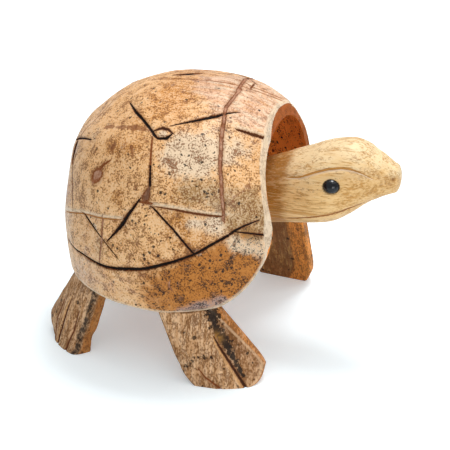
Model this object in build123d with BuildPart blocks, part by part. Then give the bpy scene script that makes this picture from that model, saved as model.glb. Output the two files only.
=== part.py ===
from build123d import *

import os
from math import cos, radians, sin, sqrt, tan

# A carved wooden turtle whose head hangs free inside its shell and nods.
# Sizes are in millimetres and degrees. The turtle faces +X, its left side is +Y, and it stands on z = 0.

# Shell: a dome turned about an upright axis and hollowed from below
shell_radius = 43.5
shell_rise = 43.4
shell_skirt = 18.5
rim_tuck = 1.3
crown_power = 2.4
wall = 3.6
roof = 7.7
hollow_power = 3.2
rim_land = 8.0
curve_steps = 8

# Flats that a knife pared off the dome: bearings round the axis and climbs over the girth, on each side
flat_depth = 0.9
flat_places = [
    (19.0, 60.0), (50.0, 40.0), (78.0, 40.0), (84.0, 71.0), (118.0, 33.0), (142.0, 54.0),
    (86.0, 12.0), (66.0, 13.0), (127.0, 2.0), (106.0, 6.0), (162.0, 15.0), (166.0, 46.0),
]

# Pockets: a valley on each side that deepens towards the mouth, from its shallow end to past the mouth's edge
pocket_shallow_end = (62.0, 15.0)
pocket_deep_end = (38.0, 5.5)
pocket_depth = 2.2
pocket_upper_wall = 6.8
pocket_lower_wall = 3.6
pocket_opening = 2.5

# Mouth: the leaning cut across the front, which rounds into the lower rim
mouth_setback = 10.2
mouth_lean = 10.2
mouth_corner = 23.5

# Legs: bowed slabs that splay out from under the rim, widest at the ankle and drawn in at the sole
leg_height = 22.5
leg_thickness = 5.0
leg_bow = 28.0
leg_lean = 21.0
leg_inset = 1.2
lap_height = 12.0
ankle_height = 7.6
sole_draw = 5.2
toe_radius = 5.0

# Widths of the legs at the seat and at the ankle
front_right_seat_width = 21.0
front_right_ankle_width = 28.4
front_left_seat_width = 18.5
front_left_ankle_width = 22.5
rear_seat_width = 15.6
rear_ankle_width = 22.0

# How far the middles of ankle and sole lie ahead of the seat
front_right_ankle_lead = 9.6
front_right_sole_lead = 10.8
front_left_foot_lead = -0.5
rear_ankle_lead = -4.8
rear_sole_lead = 0.4

# How each leg stands: polar angle of its seat, heading of its outer face, leads and widths
leg_stances = {
    "front_right": (
        -75.0, -71.0,
        front_right_ankle_lead, front_right_sole_lead,
        front_right_seat_width, front_right_ankle_width,
    ),
    "front_left": (
        58.0, 82.0,
        front_left_foot_lead, front_left_foot_lead,
        front_left_seat_width, front_left_ankle_width,
    ),
    "rear_right": (
        -138.0, -129.0,
        rear_ankle_lead, rear_sole_lead,
        rear_seat_width, rear_ankle_width,
    ),
    "rear_left": (
        138.0, 129.0,
        rear_ankle_lead, rear_sole_lead,
        rear_seat_width, rear_ankle_width,
    ),
}

# Pegs: small dowels that hold the legs to the rim
peg_radius = 0.9
peg_length = 9.0
peg_tilt = 5.0
peg_chamfer = 0.3
glue_gap = 0.05

# Head and neck: the reaches are measured ahead of the shell's axis
neck_end_reach = -20.0
hanger_reach = 9.0
neck_mouth_reach = 28.0
bead_reach = 47.4
nose_reach = 67.3

neck_radius = 10.4
cheek_step = (bead_reach - neck_mouth_reach) / 4
snout_step = (nose_reach - bead_reach) / 4

# Elliptical sections of the neck, cheeks and snout: reach, height over the neck's middle at the hanger,
# half height, half width
neck_sections = [
    (neck_end_reach, -7.8, 8.7, 8.5),
    (hanger_reach, 0.0, neck_radius, 10.2),
    (neck_mouth_reach, 5.0, 11.4, 10.7),
]
cheek_sections = [
    neck_sections[-1],
    (neck_mouth_reach + cheek_step, 6.3, 12.1, 11.2),
    (neck_mouth_reach + 2 * cheek_step, 7.5, 12.8, 11.9),
    (bead_reach - cheek_step, 8.9, 13.5, 12.5),
    (bead_reach, 10.3, 13.5, 12.3),
]
snout_sections = [
    cheek_sections[-1],
    (bead_reach + snout_step, 12.2, 12.2, 11.2),
    (bead_reach + 2 * snout_step, 13.4, 9.5, 9.2),
    (nose_reach - snout_step, 13.2, 6.5, 6.5),
    (nose_reach, 12.4, 3.0, 2.9),
]
nose_rounding = 1.2

# Eyes: black beads let into the sides of the head, past their equators
bead_radius = 3.0
bead_lift = 2.1
bead_sink = 1.5

# Hanger: a screw eye in the roof, a screw eye in the neck and a wire link between them
eye_bore = 2.0
eye_wire = 0.7
eye_stand = 1.2
roof_cover = 2.2
neck_shank = 8.0
link_wire = 0.6
link_width = 6.0
link_length = 8.5
link_corner = 2.0
hang_gap = 0.1

# Counterweight: an iron slug let into the rear end of the neck
slug_radius = 6.5
slug_length = 15.1

# Heights and places that follow from these sizes
rim_z = leg_height
girth_z = rim_z + shell_skirt
crown_z = girth_z + shell_rise
rim_radius = shell_radius - rim_tuck
axis_x = (shell_radius - nose_reach) / 2
mouth_slope = tan(radians(mouth_lean))
mouth_foot = shell_radius - mouth_setback + mouth_slope * shell_skirt
corner_run = mouth_corner / tan(radians(90 - mouth_lean) / 2)
leg_drop = leg_height / cos(radians(leg_lean))
ankle_drop = leg_drop - ankle_height
eye_radius = eye_bore + eye_wire
eye_reach = eye_stand + eye_bore + 2 * eye_wire
roof_eye_z = crown_z - roof - eye_reach
link_top_z = roof_eye_z - eye_bore + link_wire + hang_gap
link_foot_z = link_top_z - link_length
neck_eye_z = link_foot_z - eye_bore + link_wire + hang_gap
neck_top = neck_eye_z - eye_reach
neck_z = neck_top - neck_radius
hanger_x = axis_x + hanger_reach
across = 2 * shell_radius
shell_axis = Axis((axis_x, 0, 0), (0, 0, 1))
side_view = Plane((axis_x, 0, 0), x_dir=(1, 0, 0), z_dir=(0, -1, 0))
upright = Vector(0, 0, 1)


def polar(radius, angle, z):
    """Point at a polar angle round the shell's axis."""
    return Vector(axis_x + radius * cos(radians(angle)), radius * sin(radians(angle)), z)


def crown_curve(radius, rise, power):
    """Quarter superellipse from the girth up to the shell's axis."""
    angles = [radians(90 * step / curve_steps) for step in range(curve_steps)]
    points = [(radius * cos(a) ** (2 / power), girth_z + rise * sin(a) ** (2 / power)) for a in angles]
    return Spline(*points, (0, girth_z + rise), tangents=[(0, 1), (-1, 0)])


def dome_spot(bearing, climb):
    """Point on the dome at a bearing round its axis and a climb over its girth, and its normal there."""
    out, up = cos(radians(climb)), sin(radians(climb))
    distance = ((out / shell_radius) ** crown_power + (up / shell_rise) ** crown_power) ** (-1 / crown_power)
    lean_out = (out / shell_radius) ** (crown_power - 1) / shell_radius
    lean_up = (up / shell_rise) ** (crown_power - 1) / shell_rise
    normal = Vector(lean_out, 0, lean_up).rotate(Axis.Z, bearing).normalized()
    return polar(distance * out, bearing, girth_z + distance * up), normal


def dome_flat(bearing, climb):
    """Plane of a flat: square to the dome and sunk below it by the flats' depth."""
    spot, normal = dome_spot(bearing, climb)
    return Plane(spot - normal * flat_depth, z_dir=normal)


def pocket_bed(side):
    """Plane across a pocket's deep end, with X outward, and the length of its straight bed."""
    shallow, _ = dome_spot(side * pocket_shallow_end[0], pocket_shallow_end[1])
    spot, outward = dome_spot(side * pocket_deep_end[0], pocket_deep_end[1])
    deep = spot - outward * pocket_depth
    return Plane(deep, x_dir=outward, z_dir=shallow - deep), (shallow - deep).length


def rim_over(reach):
    """Height of the rim's lower face at a distance ahead of the axis: flat, then rounding up to the mouth."""
    past = max(0, reach - (mouth_foot - corner_run))
    return rim_z + mouth_corner - sqrt(mouth_corner**2 - past**2)


def head_plane(reach, height):
    """Upright plane across the head at one section."""
    return Plane((axis_x + reach, 0, neck_z + height), x_dir=(0, 1, 0), z_dir=(1, 0, 0))


def export(builder, name):
    """Label a finished piece and write it under its name."""
    builder.part.label = name
    export_step(builder.part, f"parts/{name}.step")


os.makedirs("parts", exist_ok=True)

# Side view of the shell: all that lies above the rim and behind the mouth
with BuildSketch(side_view) as shell_side:
    with BuildLine():
        outline = FilletPolyline(
            (-across, rim_z),
            (mouth_foot, rim_z),
            (mouth_foot - mouth_slope * across, rim_z + across),
            (-across, rim_z + across),
            radius=[mouth_corner, 0],
        )
        Line(outline @ 1, outline @ 0)
    make_face()

# Legs, and the peg at the middle of each seat
seat_radius = rim_radius - leg_inset
seat_middle = seat_radius - leg_thickness / 2 / cos(radians(leg_lean))
peg_planes = {}

for stance, (seat_angle, heading, ankle_lead, sole_lead, seat_width, ankle_width) in leg_stances.items():
    seat = polar(seat_radius, seat_angle, rim_z)
    outward = Vector(1, 0, 0).rotate(Axis.Z, heading)
    sideways = Vector(0, 1, 0).rotate(Axis.Z, heading)
    outer_face = Plane(seat, x_dir=sideways, z_dir=outward + upright * tan(radians(leg_lean)))
    ahead = -1 if heading > 0 else 1
    grain_dir = outer_face.y_dir * ankle_drop - outer_face.x_dir * ahead * ankle_lead
    grain = Plane(seat, x_dir=grain_dir.cross(outer_face.z_dir), z_dir=grain_dir)

    lap_share = lap_height / ankle_drop
    lap_width = seat_width - (ankle_width - seat_width) * lap_share
    levels = [
        (lap_height, lap_width, -ankle_lead * lap_share),
        (-ankle_drop, ankle_width, ankle_lead),
        (-leg_drop, ankle_width - 2 * sole_draw, sole_lead),
    ]
    left_edge = [(ahead * lead - width / 2, level) for level, width, lead in levels]
    right_edge = [(ahead * lead + width / 2, level) for level, width, lead in levels]

    peg_top = rim_over(seat_middle * cos(radians(seat_angle)))
    peg_radial = seat_middle - (peg_top - rim_z) * tan(radians(leg_lean))
    inward = Vector(-1, 0, 0).rotate(Axis.Z, seat_angle)
    peg_seat = polar(peg_radial, seat_angle, peg_top)
    peg_planes[stance] = Plane(peg_seat, z_dir=upright + inward * tan(radians(peg_tilt)))

    with BuildPart() as leg:
        with BuildSketch(outer_face):
            with BuildLine():
                paddle = FilletPolyline(*left_edge, *reversed(right_edge), radius=toe_radius)
                Line(paddle @ 1, paddle @ 0)
            make_face()
        extrude(amount=leg_bow / 2, both=True)
        with BuildSketch(grain):
            with Locations((0, leg_bow)):
                Circle(leg_bow)
                Circle(leg_bow - leg_thickness, mode=Mode.SUBTRACT)
        extrude(amount=across, both=True, mode=Mode.INTERSECT)
        extrude(shell_side.sketch, amount=across, both=True, mode=Mode.SUBTRACT)
        split(bisect_by=Plane.XY, keep=Keep.TOP)
        with Locations(peg_planes[stance]):
            Cylinder(peg_radius + glue_gap, peg_length, mode=Mode.SUBTRACT)
    export(leg, f"leg_{stance}")

    with BuildPart() as peg:
        with Locations(peg_planes[stance]):
            Cylinder(peg_radius, peg_length)
        chamfer(peg.edges().filter_by(GeomType.CIRCLE), length=peg_chamfer)
    export(peg, f"peg_{stance}")

# Screw eyes and the link: the roof eye hangs from the roof, the neck eye stands on the neck
roof_shank_top = crown_z - roof_cover
neck_shank_foot = neck_top - neck_shank


def screw_eye(ring_z, shank_end_z):
    """Wire ring in the plane of symmetry, with a straight shank from the ring to the given height."""
    start_z = ring_z + (eye_radius if shank_end_z > ring_z else -eye_radius)
    with Locations((hanger_x, 0, ring_z)):
        Torus(eye_radius, eye_wire, rotation=(90, 0, 0))
    with Locations((hanger_x, 0, (start_z + shank_end_z) / 2)):
        Cylinder(eye_wire, abs(shank_end_z - start_z))


def shank_hole(end_z, ring_z):
    """Pilot hole for a screw eye's shank, open towards its ring."""
    with Locations((hanger_x, 0, (end_z + ring_z) / 2)):
        Cylinder(eye_wire + glue_gap, abs(ring_z - end_z), mode=Mode.SUBTRACT)


with BuildPart() as roof_eye:
    screw_eye(roof_eye_z, roof_shank_top)
export(roof_eye, "roof_eye")

with BuildPart() as neck_eye:
    screw_eye(neck_eye_z, neck_shank_foot)
export(neck_eye, "neck_eye")

with BuildPart() as hanger_link:
    with BuildLine(Plane((hanger_x, 0, 0), x_dir=(0, 1, 0), z_dir=(1, 0, 0))) as link_path:
        FilletPolyline(
            (link_width / 2, link_foot_z),
            (link_width / 2, link_top_z),
            (-link_width / 2, link_top_z),
            (-link_width / 2, link_foot_z),
            radius=link_corner,
            close=True,
        )
    with BuildSketch(Plane(link_path.wire() @ 0, z_dir=link_path.wire() % 0)):
        Circle(link_wire)
    sweep(path=link_path.wire())
export(hanger_link, "hanger_link")

# Shell: turned, pared, cut to its side view, and drilled for the pegs and the roof eye
with BuildPart() as shell:
    with BuildSketch(side_view):
        with BuildLine():
            outer = crown_curve(shell_radius, shell_rise, crown_power)
            inner = crown_curve(shell_radius - wall, shell_rise - roof, hollow_power)
            skirt = TangentArc(outer @ 0, (rim_radius, rim_z), tangent=(0, -1))
            lining = TangentArc(inner @ 0, (rim_radius - rim_land, rim_z), tangent=(0, -1))
            Line(skirt @ 1, lining @ 1)
            Line(outer @ 1, inner @ 1)
        make_face()
    revolve(axis=shell_axis)
    for bearing, climb in flat_places:
        split(bisect_by=dome_flat(bearing, climb), keep=Keep.BOTTOM)
        split(bisect_by=dome_flat(-bearing, climb), keep=Keep.BOTTOM)
    for side in (1, -1):
        bed_plane, bed_length = pocket_bed(side)
        with BuildSketch(bed_plane):
            Polygon(
                (0, 0),
                (pocket_opening * pocket_depth, -side * pocket_opening * pocket_upper_wall),
                (pocket_opening * pocket_depth, side * pocket_opening * pocket_lower_wall),
                align=None,
            )
        extrude(amount=bed_length, mode=Mode.SUBTRACT)
    extrude(shell_side.sketch, amount=across, both=True, mode=Mode.INTERSECT)
    for peg_plane in peg_planes.values():
        with Locations(peg_plane):
            Cylinder(peg_radius + glue_gap, peg_length, mode=Mode.SUBTRACT)
    shank_hole(roof_shank_top, roof_eye_z)
export(shell, "shell")

# Head and neck: one carving, with sockets for the beads, the neck eye and the counterweight
neck_end = Vector(axis_x + neck_end_reach, 0, neck_z + neck_sections[0][1])
neck_run = Vector(hanger_reach - neck_end_reach, 0, neck_sections[1][1] - neck_sections[0][1])
neck_end_plane = Plane(neck_end, x_dir=(0, 1, 0), z_dir=neck_run)
bead_section = cheek_sections[-1]
bead_flank = bead_section[3] * sqrt(1 - (bead_lift / bead_section[2]) ** 2)
bead_z = neck_z + bead_section[1] + bead_lift
bead_places = {
    "eye_right": (axis_x + bead_reach, -(bead_flank - bead_sink), bead_z),
    "eye_left": (axis_x + bead_reach, bead_flank - bead_sink, bead_z),
}

with BuildPart() as head:
    for sections in (neck_sections, cheek_sections, snout_sections):
        for reach, height, half_height, half_width in sections:
            plane = neck_end_plane if reach == neck_end_reach else head_plane(reach, height)
            with BuildSketch(plane):
                Ellipse(half_width, half_height)
        loft()
    fillet(head.edges().sort_by(Axis.X)[-1], radius=nose_rounding)
    with Locations(*bead_places.values()):
        Sphere(bead_radius + glue_gap, mode=Mode.SUBTRACT)
    shank_hole(neck_shank_foot, neck_eye_z)
    with Locations(neck_end_plane):
        Cylinder(slug_radius + glue_gap, 2 * slug_length, mode=Mode.SUBTRACT)
export(head, "head")

for name, place in bead_places.items():
    with BuildPart() as bead:
        with Locations(place):
            Sphere(bead_radius)
    export(bead, name)

with BuildPart() as counterweight:
    with Locations(neck_end_plane):
        Cylinder(slug_radius, slug_length, align=(Align.CENTER, Align.CENTER, Align.MIN))
export(counterweight, "counterweight")
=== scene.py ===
"""Carves and finishes a wooden nodding turtle over its solids.

Shapes are worked out in millimetres and put into Blender in metres. The turtle faces +X, its left side is +Y,
and it stands on z = 0.
"""

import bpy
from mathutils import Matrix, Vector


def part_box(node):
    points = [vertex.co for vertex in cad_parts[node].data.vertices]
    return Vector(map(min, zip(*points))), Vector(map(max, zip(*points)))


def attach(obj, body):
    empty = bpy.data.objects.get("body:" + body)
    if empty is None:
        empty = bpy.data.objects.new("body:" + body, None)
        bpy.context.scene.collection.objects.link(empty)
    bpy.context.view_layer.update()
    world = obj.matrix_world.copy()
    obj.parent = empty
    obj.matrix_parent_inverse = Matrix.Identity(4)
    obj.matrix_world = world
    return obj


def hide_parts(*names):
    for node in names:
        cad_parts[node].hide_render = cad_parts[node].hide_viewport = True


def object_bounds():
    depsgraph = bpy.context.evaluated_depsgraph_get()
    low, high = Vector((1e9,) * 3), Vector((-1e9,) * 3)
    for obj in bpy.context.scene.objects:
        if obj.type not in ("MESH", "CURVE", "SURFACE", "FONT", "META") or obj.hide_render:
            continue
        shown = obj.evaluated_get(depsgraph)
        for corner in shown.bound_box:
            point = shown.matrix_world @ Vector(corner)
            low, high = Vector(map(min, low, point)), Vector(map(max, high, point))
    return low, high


bl_info = {
    "name": "Nodding turtle",
    "version": (1, 0, 0),
    "blender": (4, 5, 0),
    "location": "View3D > Sidebar > Turtle",
    "description": "Carves and finishes a wooden nodding turtle over its solids",
    "category": "Add Mesh",
}

from collections import namedtuple
from functools import partial

import bpy
import numpy as np
from mathutils import Vector

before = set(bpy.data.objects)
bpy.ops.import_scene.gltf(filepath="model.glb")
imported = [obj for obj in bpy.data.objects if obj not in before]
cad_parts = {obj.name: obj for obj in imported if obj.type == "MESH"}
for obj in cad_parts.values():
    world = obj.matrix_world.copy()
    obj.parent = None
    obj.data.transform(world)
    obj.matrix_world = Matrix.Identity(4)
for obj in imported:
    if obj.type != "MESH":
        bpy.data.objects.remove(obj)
CAD_BOX = [list(corner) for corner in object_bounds()]

MM = 0.001
FAR = 1.0e6
TURN = 2 * np.pi


def node_box(node):
    """Lowest and highest corner of a solid, in millimetres."""
    return np.array(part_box(node)) / MM


# Places that the solids give
SHELL_LOW, SHELL_HIGH = node_box("shell")
SHELL_RADIUS = (SHELL_HIGH[1] - SHELL_LOW[1]) / 2
AXIS_X = SHELL_LOW[0] + SHELL_RADIUS
RIM_Z, CROWN_Z = SHELL_LOW[2], SHELL_HIGH[2]
NOSE_REACH = node_box("head")[1, 0] - AXIS_X
BEAD_CENTRES = {side: node_box("eye_" + side).mean(axis=0) for side in ("right", "left")}
BEAD_RADIUS = np.ptp(node_box("eye_right"), axis=0)[2] / 2


# Settings that a user would change

def number_property(name, description, default, **kind):
    """A number with its unit or its bounds."""
    return bpy.props.FloatProperty(name=name, description=description, default=default, **kind)


def length_property(name, description, default):
    """A length in metres."""
    return number_property(name, description, default, unit="LENGTH")


def colour_property(name, description, default):
    """A colour as linear red, green and blue."""
    return bpy.props.FloatVectorProperty(name=name, description=description, default=default, subtype="COLOR")


class TurtleShellSettings(bpy.types.PropertyGroup):
    """Sizes of the shell's form and carving."""

    skirt: length_property("Skirt", "Height of the girth over the rim", 0.0185)
    rim_tuck: length_property("Rim tuck", "How far the skirt draws in at the rim", 0.0013)
    wall: length_property("Wall", "Thickness of the wall at the girth", 0.0036)
    roof: length_property("Roof", "Thickness of the wood at the crown", 0.0077)
    rim_land: length_property("Rim land", "Width of the flat rim", 0.008)
    edge_round: length_property("Edge round", "Rounding of the rim and mouth edges", 0.0003)
    unevenness: length_property("Unevenness", "Depth of the hand-carved waviness", 0.0003)
    cut_depth: number_property("Cut depth", "Depth of the carved lines", 1.0, min=0.0, subtype="FACTOR")


class TurtleHeadSettings(bpy.types.PropertyGroup):
    """Sizes of the head's carving."""

    brow_drop: length_property("Brow drop", "Height of the brow over the cheek", 0.0006)
    line_depth: length_property("Line depth", "Depth of the brow and mouth lines", 0.0005)
    socket_depth: length_property("Socket depth", "Depth of the ring round each bead", 0.0009)


class TurtleLegSettings(bpy.types.PropertyGroup):
    """Sizes of the legs."""

    thickness: length_property("Thickness", "Thickness of the slab", 0.005)
    bow: length_property("Bow", "Radius of the slab's bow across the grain", 0.028)
    lean: number_property("Lean", "Splay of the legs", np.radians(21.0), unit="ROTATION")
    toe_depth: length_property("Toe depth", "Depth of the cuts between the toes", 0.0008)
    bark_depth: length_property("Bark depth", "Depth of the rough grain", 0.00035)


class TurtleColours(bpy.types.PropertyGroup):
    """Colours of the woods and marks, some of them painted light and shade."""

    shell_tan: colour_property("Shell", "Main colour of the shell", (0.76, 0.415, 0.17))
    shell_orange: colour_property("Shell warm", "Warm patches of the shell", (0.57, 0.235, 0.045))
    # The pale colour serves bleached wood, pale pores and grain, and painted highlight and sheen
    shell_pale: colour_property("Shell pale", "Bleached patches of the shell", (0.76, 0.59, 0.41))
    # The pink serves pink wood and painted sheen
    shell_pink: colour_property("Shell pink", "Pink patches of the shell", (0.69, 0.41, 0.275))
    # The dull colour serves dull wood and painted shade in the pocket
    shell_olive: colour_property("Shell dull", "Dull patches of the shell", (0.30, 0.17, 0.06))
    # Painted shade: this darker colour stands for the shade on the underside below the girth, which faces
    # down
    shell_under_shade: colour_property("Shell deep", "Dark warm wood under the girth", (0.33, 0.10, 0.008))
    shell_brown: colour_property("Pores", "Pores of the shell", (0.24, 0.09, 0.03))
    # Painted reflection: the chamfer's grey-lilac stands for the bright room seen in it
    shell_grey_reflection: colour_property("Chamfer", "Worn chamfer at the rim", (0.36, 0.27, 0.25))
    # Painted light: the hollow's colour is pushed as bright as it goes, to make up for the shade inside the
    # shell
    hollow_red_painted_light: colour_property("Hollow", "Inside of the shell", (1.0, 0.33, 0.06))
    lip_red: colour_property("Mouth", "Stained inner part of the mouth's edge", (0.38, 0.10, 0.018))
    # The scorch colour also paints the shade in the socket round each bead
    scorch: colour_property("Scorch", "Burnt lines and flecks", (0.010, 0.006, 0.004))
    rust: colour_property("Rust", "Red-brown marks", (0.22, 0.065, 0.018))
    head_honey: colour_property("Head", "Main colour of the head", (0.76, 0.47, 0.19))
    # The pale colour of the head also paints light from above on its crown
    head_cream: colour_property("Head pale", "Crown of the head and snout", (0.80, 0.60, 0.34))
    head_gold: colour_property("Head gold", "Golden grain and lines of the head", (0.50, 0.23, 0.045))
    # Partly stained wood and partly painted shade where the neck goes into the shell
    head_stain_and_shade: colour_property("Neck", "Stained neck", (0.36, 0.14, 0.012))
    leg_brown: colour_property("Legs", "Main colour of the legs", (0.45, 0.23, 0.095))
    leg_pale: colour_property("Leg fibres", "Pale fibres of the legs", (0.70, 0.44, 0.25))
    leg_dark: colour_property("Leg shade", "Dark grain and inner faces of the legs", (0.20, 0.075, 0.02))
    leg_cut: colour_property("Leg edges", "Cut edges of the legs", (0.82, 0.30, 0.06))


class TurtleStageSettings(bpy.types.PropertyGroup):
    """View and light."""

    azimuth: number_property("Azimuth", "Bearing of the camera", np.radians(16.35), unit="ROTATION")
    elevation: number_property("Elevation", "Height of the camera", np.radians(25.02), unit="ROTATION")
    distance: length_property("Distance", "From the camera to its target", 0.59)
    target: bpy.props.FloatVectorProperty(
        name="Target", description="Point in the middle of the picture", default=(-0.0041, 0.0060, 0.0322),
        subtype="TRANSLATION", unit="LENGTH")
    lens: number_property("Lens", "Focal length in millimetres", 141.95, unit="CAMERA")
    fill: number_property("Fill", "Strength of the even light", 0.58, min=0.0)
    softbox: number_property("Softbox", "Strength of the lamp overhead", 2.7, min=0.0, unit="POWER")
    catch_light: number_property(
        "Catch light", "Strength of the small lamp that shows in the beads", 2.9, min=0.0, unit="POWER")
    side_lamp: number_property(
        "Side lamp", "Strength of the lamp at the front right", 3.4, min=0.0, unit="POWER")


SETTINGS = {
    "turtle_shell": TurtleShellSettings,
    "turtle_head": TurtleHeadSettings,
    "turtle_legs": TurtleLegSettings,
    "turtle_colours": TurtleColours,
    "turtle_stage": TurtleStageSettings,
}


# Arrays

def smooth(value, low, high):
    """Smoothstep: 0 up to low, 1 from high on, and the cubic 3t^2 - 2t^3 between; low may exceed high."""
    t = np.clip((value - low) / (high - low), 0, 1)
    return t * t * (3 - 2 * t)


def bell(value, middle, spread):
    """Bell curve: exp(-((value - middle) / spread)^2)."""
    return np.exp(-(((value - middle) / spread) ** 2))


def lattice_noise(points, cell, seed):
    """Value noise: random numbers from -1 to 1 on a cubic lattice, blended by smoothstep weights."""
    side = 32
    table = np.random.default_rng(seed).uniform(-1, 1, (side, side, side))
    base = np.floor(points / cell).astype(int)
    weight = smooth(points / cell - base, 0, 1)
    total = np.zeros(points.shape[:-1])
    for corner in np.ndindex(2, 2, 2):
        share = np.where(corner, weight, 1 - weight).prod(axis=-1)
        i, j, k = np.moveaxis((base + corner) % side, -1, 0)
        total += share * table[i, j, k]
    return total


def cubic_through(x, known_x, known_y):
    """Cubic Hermite curve through known points, with slopes taken from the neighbours on both sides."""
    known_x, known_y = np.asarray(known_x, float), np.asarray(known_y, float)
    slope = np.gradient(known_y, known_x, axis=0)
    i = np.clip(np.searchsorted(known_x, x) - 1, 0, len(known_x) - 2)
    span = known_x[i + 1] - known_x[i]
    t = ((x - known_x[i]) / span)[:, None]
    step = span[:, None]
    return ((2 * t**3 - 3 * t**2 + 1) * known_y[i] + (t**3 - 2 * t**2 + t) * step * slope[i]
            + (3 * t**2 - 2 * t**3) * known_y[i + 1] + (t**3 - t**2) * step * slope[i + 1])


# A carved line: channel, darkness, depth, points with their widths, and how far only its edges are dark
Line = namedtuple("Line", "channel tone depth points gouge", defaults=(0.0,))


class Marks:
    """Distances to carved lines, kept for every vertex of a piece.

    lines holds a signed distance over the half width in three channels, so that lines which meet can lie in
    different channels and stay sharp between vertices; near fades from 1 on a line to 0 away from it; tone is
    the darkness of the nearest line, gouge tells how far only its two edges are dark, and sunk is the depth.
    """

    clear = 9
    reach = 1.4
    least_half = 0.55

    def __init__(self, count, lines, measure):
        self.lines = np.full((count, 3), FAR)
        self.near = np.zeros(count)
        self.tone = np.zeros(count)
        self.gouge = np.zeros(count)
        self.closest = np.full(count, FAR)
        self.sunk = np.zeros(count)
        for line in lines:
            for distance, side, width in stretches(line.points, measure):
                self.add(line, distance, side, width / 2)

    def add(self, line, distance, side, half):
        """Take one stretch of a line into account: a V-shaped cut, as deep as the line says in its middle."""
        ratio = distance / half
        nearer = ratio < np.abs(self.lines[:, line.channel])
        self.lines[nearer, line.channel] = (side * ratio)[nearer]
        closer = ratio < self.closest
        self.closest[closer] = ratio[closer]
        self.tone[closer] = line.tone
        self.gouge[closer] = line.gouge
        self.near = np.maximum(self.near, smooth(distance, half + self.reach, half + self.reach / 3))
        cut_half = np.maximum(half, self.least_half)
        share = np.minimum(1, half / self.least_half)
        self.sunk = np.maximum(self.sunk, line.depth * share * np.clip(1 - distance / cut_half, 0, 1))

    def attributes(self):
        """What the materials read."""
        return {"cut_lines": np.clip(self.lines, -self.clear, self.clear), "cut_near": self.near,
                "cut_tone": self.tone, "cut_gouge": self.gouge}


def stretches(points, measure):
    """Each stretch of a line: distance to it, side, and width, which runs evenly from end to end."""
    for (*start, first_width), (*end, last_width) in zip(points, points[1:]):
        distance, side, share = measure(start, end)
        yield distance, side, first_width + (last_width - first_width) * share


def streak_strength(points, measure):
    """Strength of a streak: a bell of the distance over the half width, from the nearest stretch."""
    return np.max([bell(distance, 0, half) for distance, _, half in stretches(points, measure)], axis=0)


def flat_stretch(points, start, end):
    """Distance to a straight stretch in a plane, the side it lies on and the share of the way along it."""
    along = np.subtract(end, start)
    offset = points - start
    share = np.clip(offset @ along / (along @ along), 0, 1)
    gap = offset - share[:, None] * along
    side = np.sign(along[0] * offset[:, 1] - along[1] * offset[:, 0])
    return np.hypot(gap[:, 0], gap[:, 1]), side, share


def shell_stretch(directions, start, end):
    """The same for a great arc on the shell: the foot on the arc is start turned part of the way to end."""
    start, end = compass(*start), compass(*end)
    pole = np.cross(start, end)
    span = np.arctan2(np.linalg.norm(pole), start @ end)
    pole /= np.linalg.norm(pole)
    ahead = np.cross(pole, start)
    turn = np.clip(np.arctan2(directions @ ahead, directions @ start), 0, span)
    foot = np.outer(np.cos(turn), start) + np.outer(np.sin(turn), ahead)
    distance = np.linalg.norm(directions - foot, axis=1) * SHELL_RADIUS
    return distance, np.sign(directions @ pole), turn / span


# Meshes

def add_object(name, data):
    """A new object in the scene."""
    made = bpy.data.objects.new(name, data)
    bpy.context.scene.collection.objects.link(made)
    return made


def round_angles(count):
    """Angles once round, evenly spaced."""
    return np.linspace(0, TURN, count, endpoint=False)


def closed_piece(name, body, node, material, grid, first_pole, last_pole, attributes):
    """A piece from a grid that closes round its columns and ends in a pole beyond its first and last rows.

    The grid's vertices come first, then the two poles. An attribute given for the grid is carried to each
    pole as the mean of the row beside it.
    """
    rows, columns, _ = grid.shape
    vertices = np.concatenate([grid.reshape(-1, 3), [first_pole, last_pole]]) * MM
    index = np.arange(rows * columns).reshape(rows, columns)
    beside = np.roll(index, -1, axis=1)
    quads = np.stack([index[:-1], index[1:], beside[1:], beside[:-1]], axis=-1).reshape(-1, 4)
    first, last = rows * columns, rows * columns + 1
    first_fan = np.stack([np.full(columns, first), index[0], beside[0]], axis=-1)
    last_fan = np.stack([index[-1], np.full(columns, last), beside[-1]], axis=-1)
    mesh = bpy.data.meshes.new(name)
    mesh.from_pydata(vertices.tolist(), [], quads.tolist() + first_fan.tolist() + last_fan.tolist())
    mesh.polygons.foreach_set("use_smooth", np.ones(len(mesh.polygons), bool))
    for title, values in attributes.items():
        values = values.reshape(rows, columns, -1)
        ends = [values[0].mean(axis=0), values[-1].mean(axis=0)]
        values = np.concatenate([values.reshape(rows * columns, -1), ends])
        vector = values.shape[1] == 3
        attribute = mesh.attributes.new(title, "FLOAT_VECTOR" if vector else "FLOAT", "POINT")
        attribute.data.foreach_set("vector" if vector else "value", values.astype(np.float32).ravel())
    if mesh.validate():
        raise RuntimeError(f"{name} has faulty faces")
    mesh.materials.append(material)
    piece = add_object(name, mesh)
    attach(piece, body)
    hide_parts(node)
    return piece


# Shell: carved lines by bearing round the axis, climb over the girth (degrees) and width (millimetres)

CROWN_POWER = 2.4
HOLLOW_POWER = 3.2
MOUTH_SETBACK = 10.2
MOUTH_LEAN = np.radians(10.2)
MOUTH_CORNER = 23.5
POLE_TILT = np.radians(30.0)
EDGE_SEARCH, EDGE_HALVINGS = np.radians([30.0, 126.0]), 40

# The mouth's edge has a painted highlight for a width, least at a bearing and wider away from it, then
# stained
LIP_PALE, LIP_SWING, LIP_MIDDLE, LIP_SOFT = 0.6, 10.5, np.radians(20), 0.2

# Painted highlight on rim and mouth: distances on the wall between which it fades, and strength on the lip
EDGE_HIGHLIGHT_FADE, LIP_HIGHLIGHT = (0.9, 0.2), 0.7

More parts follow.
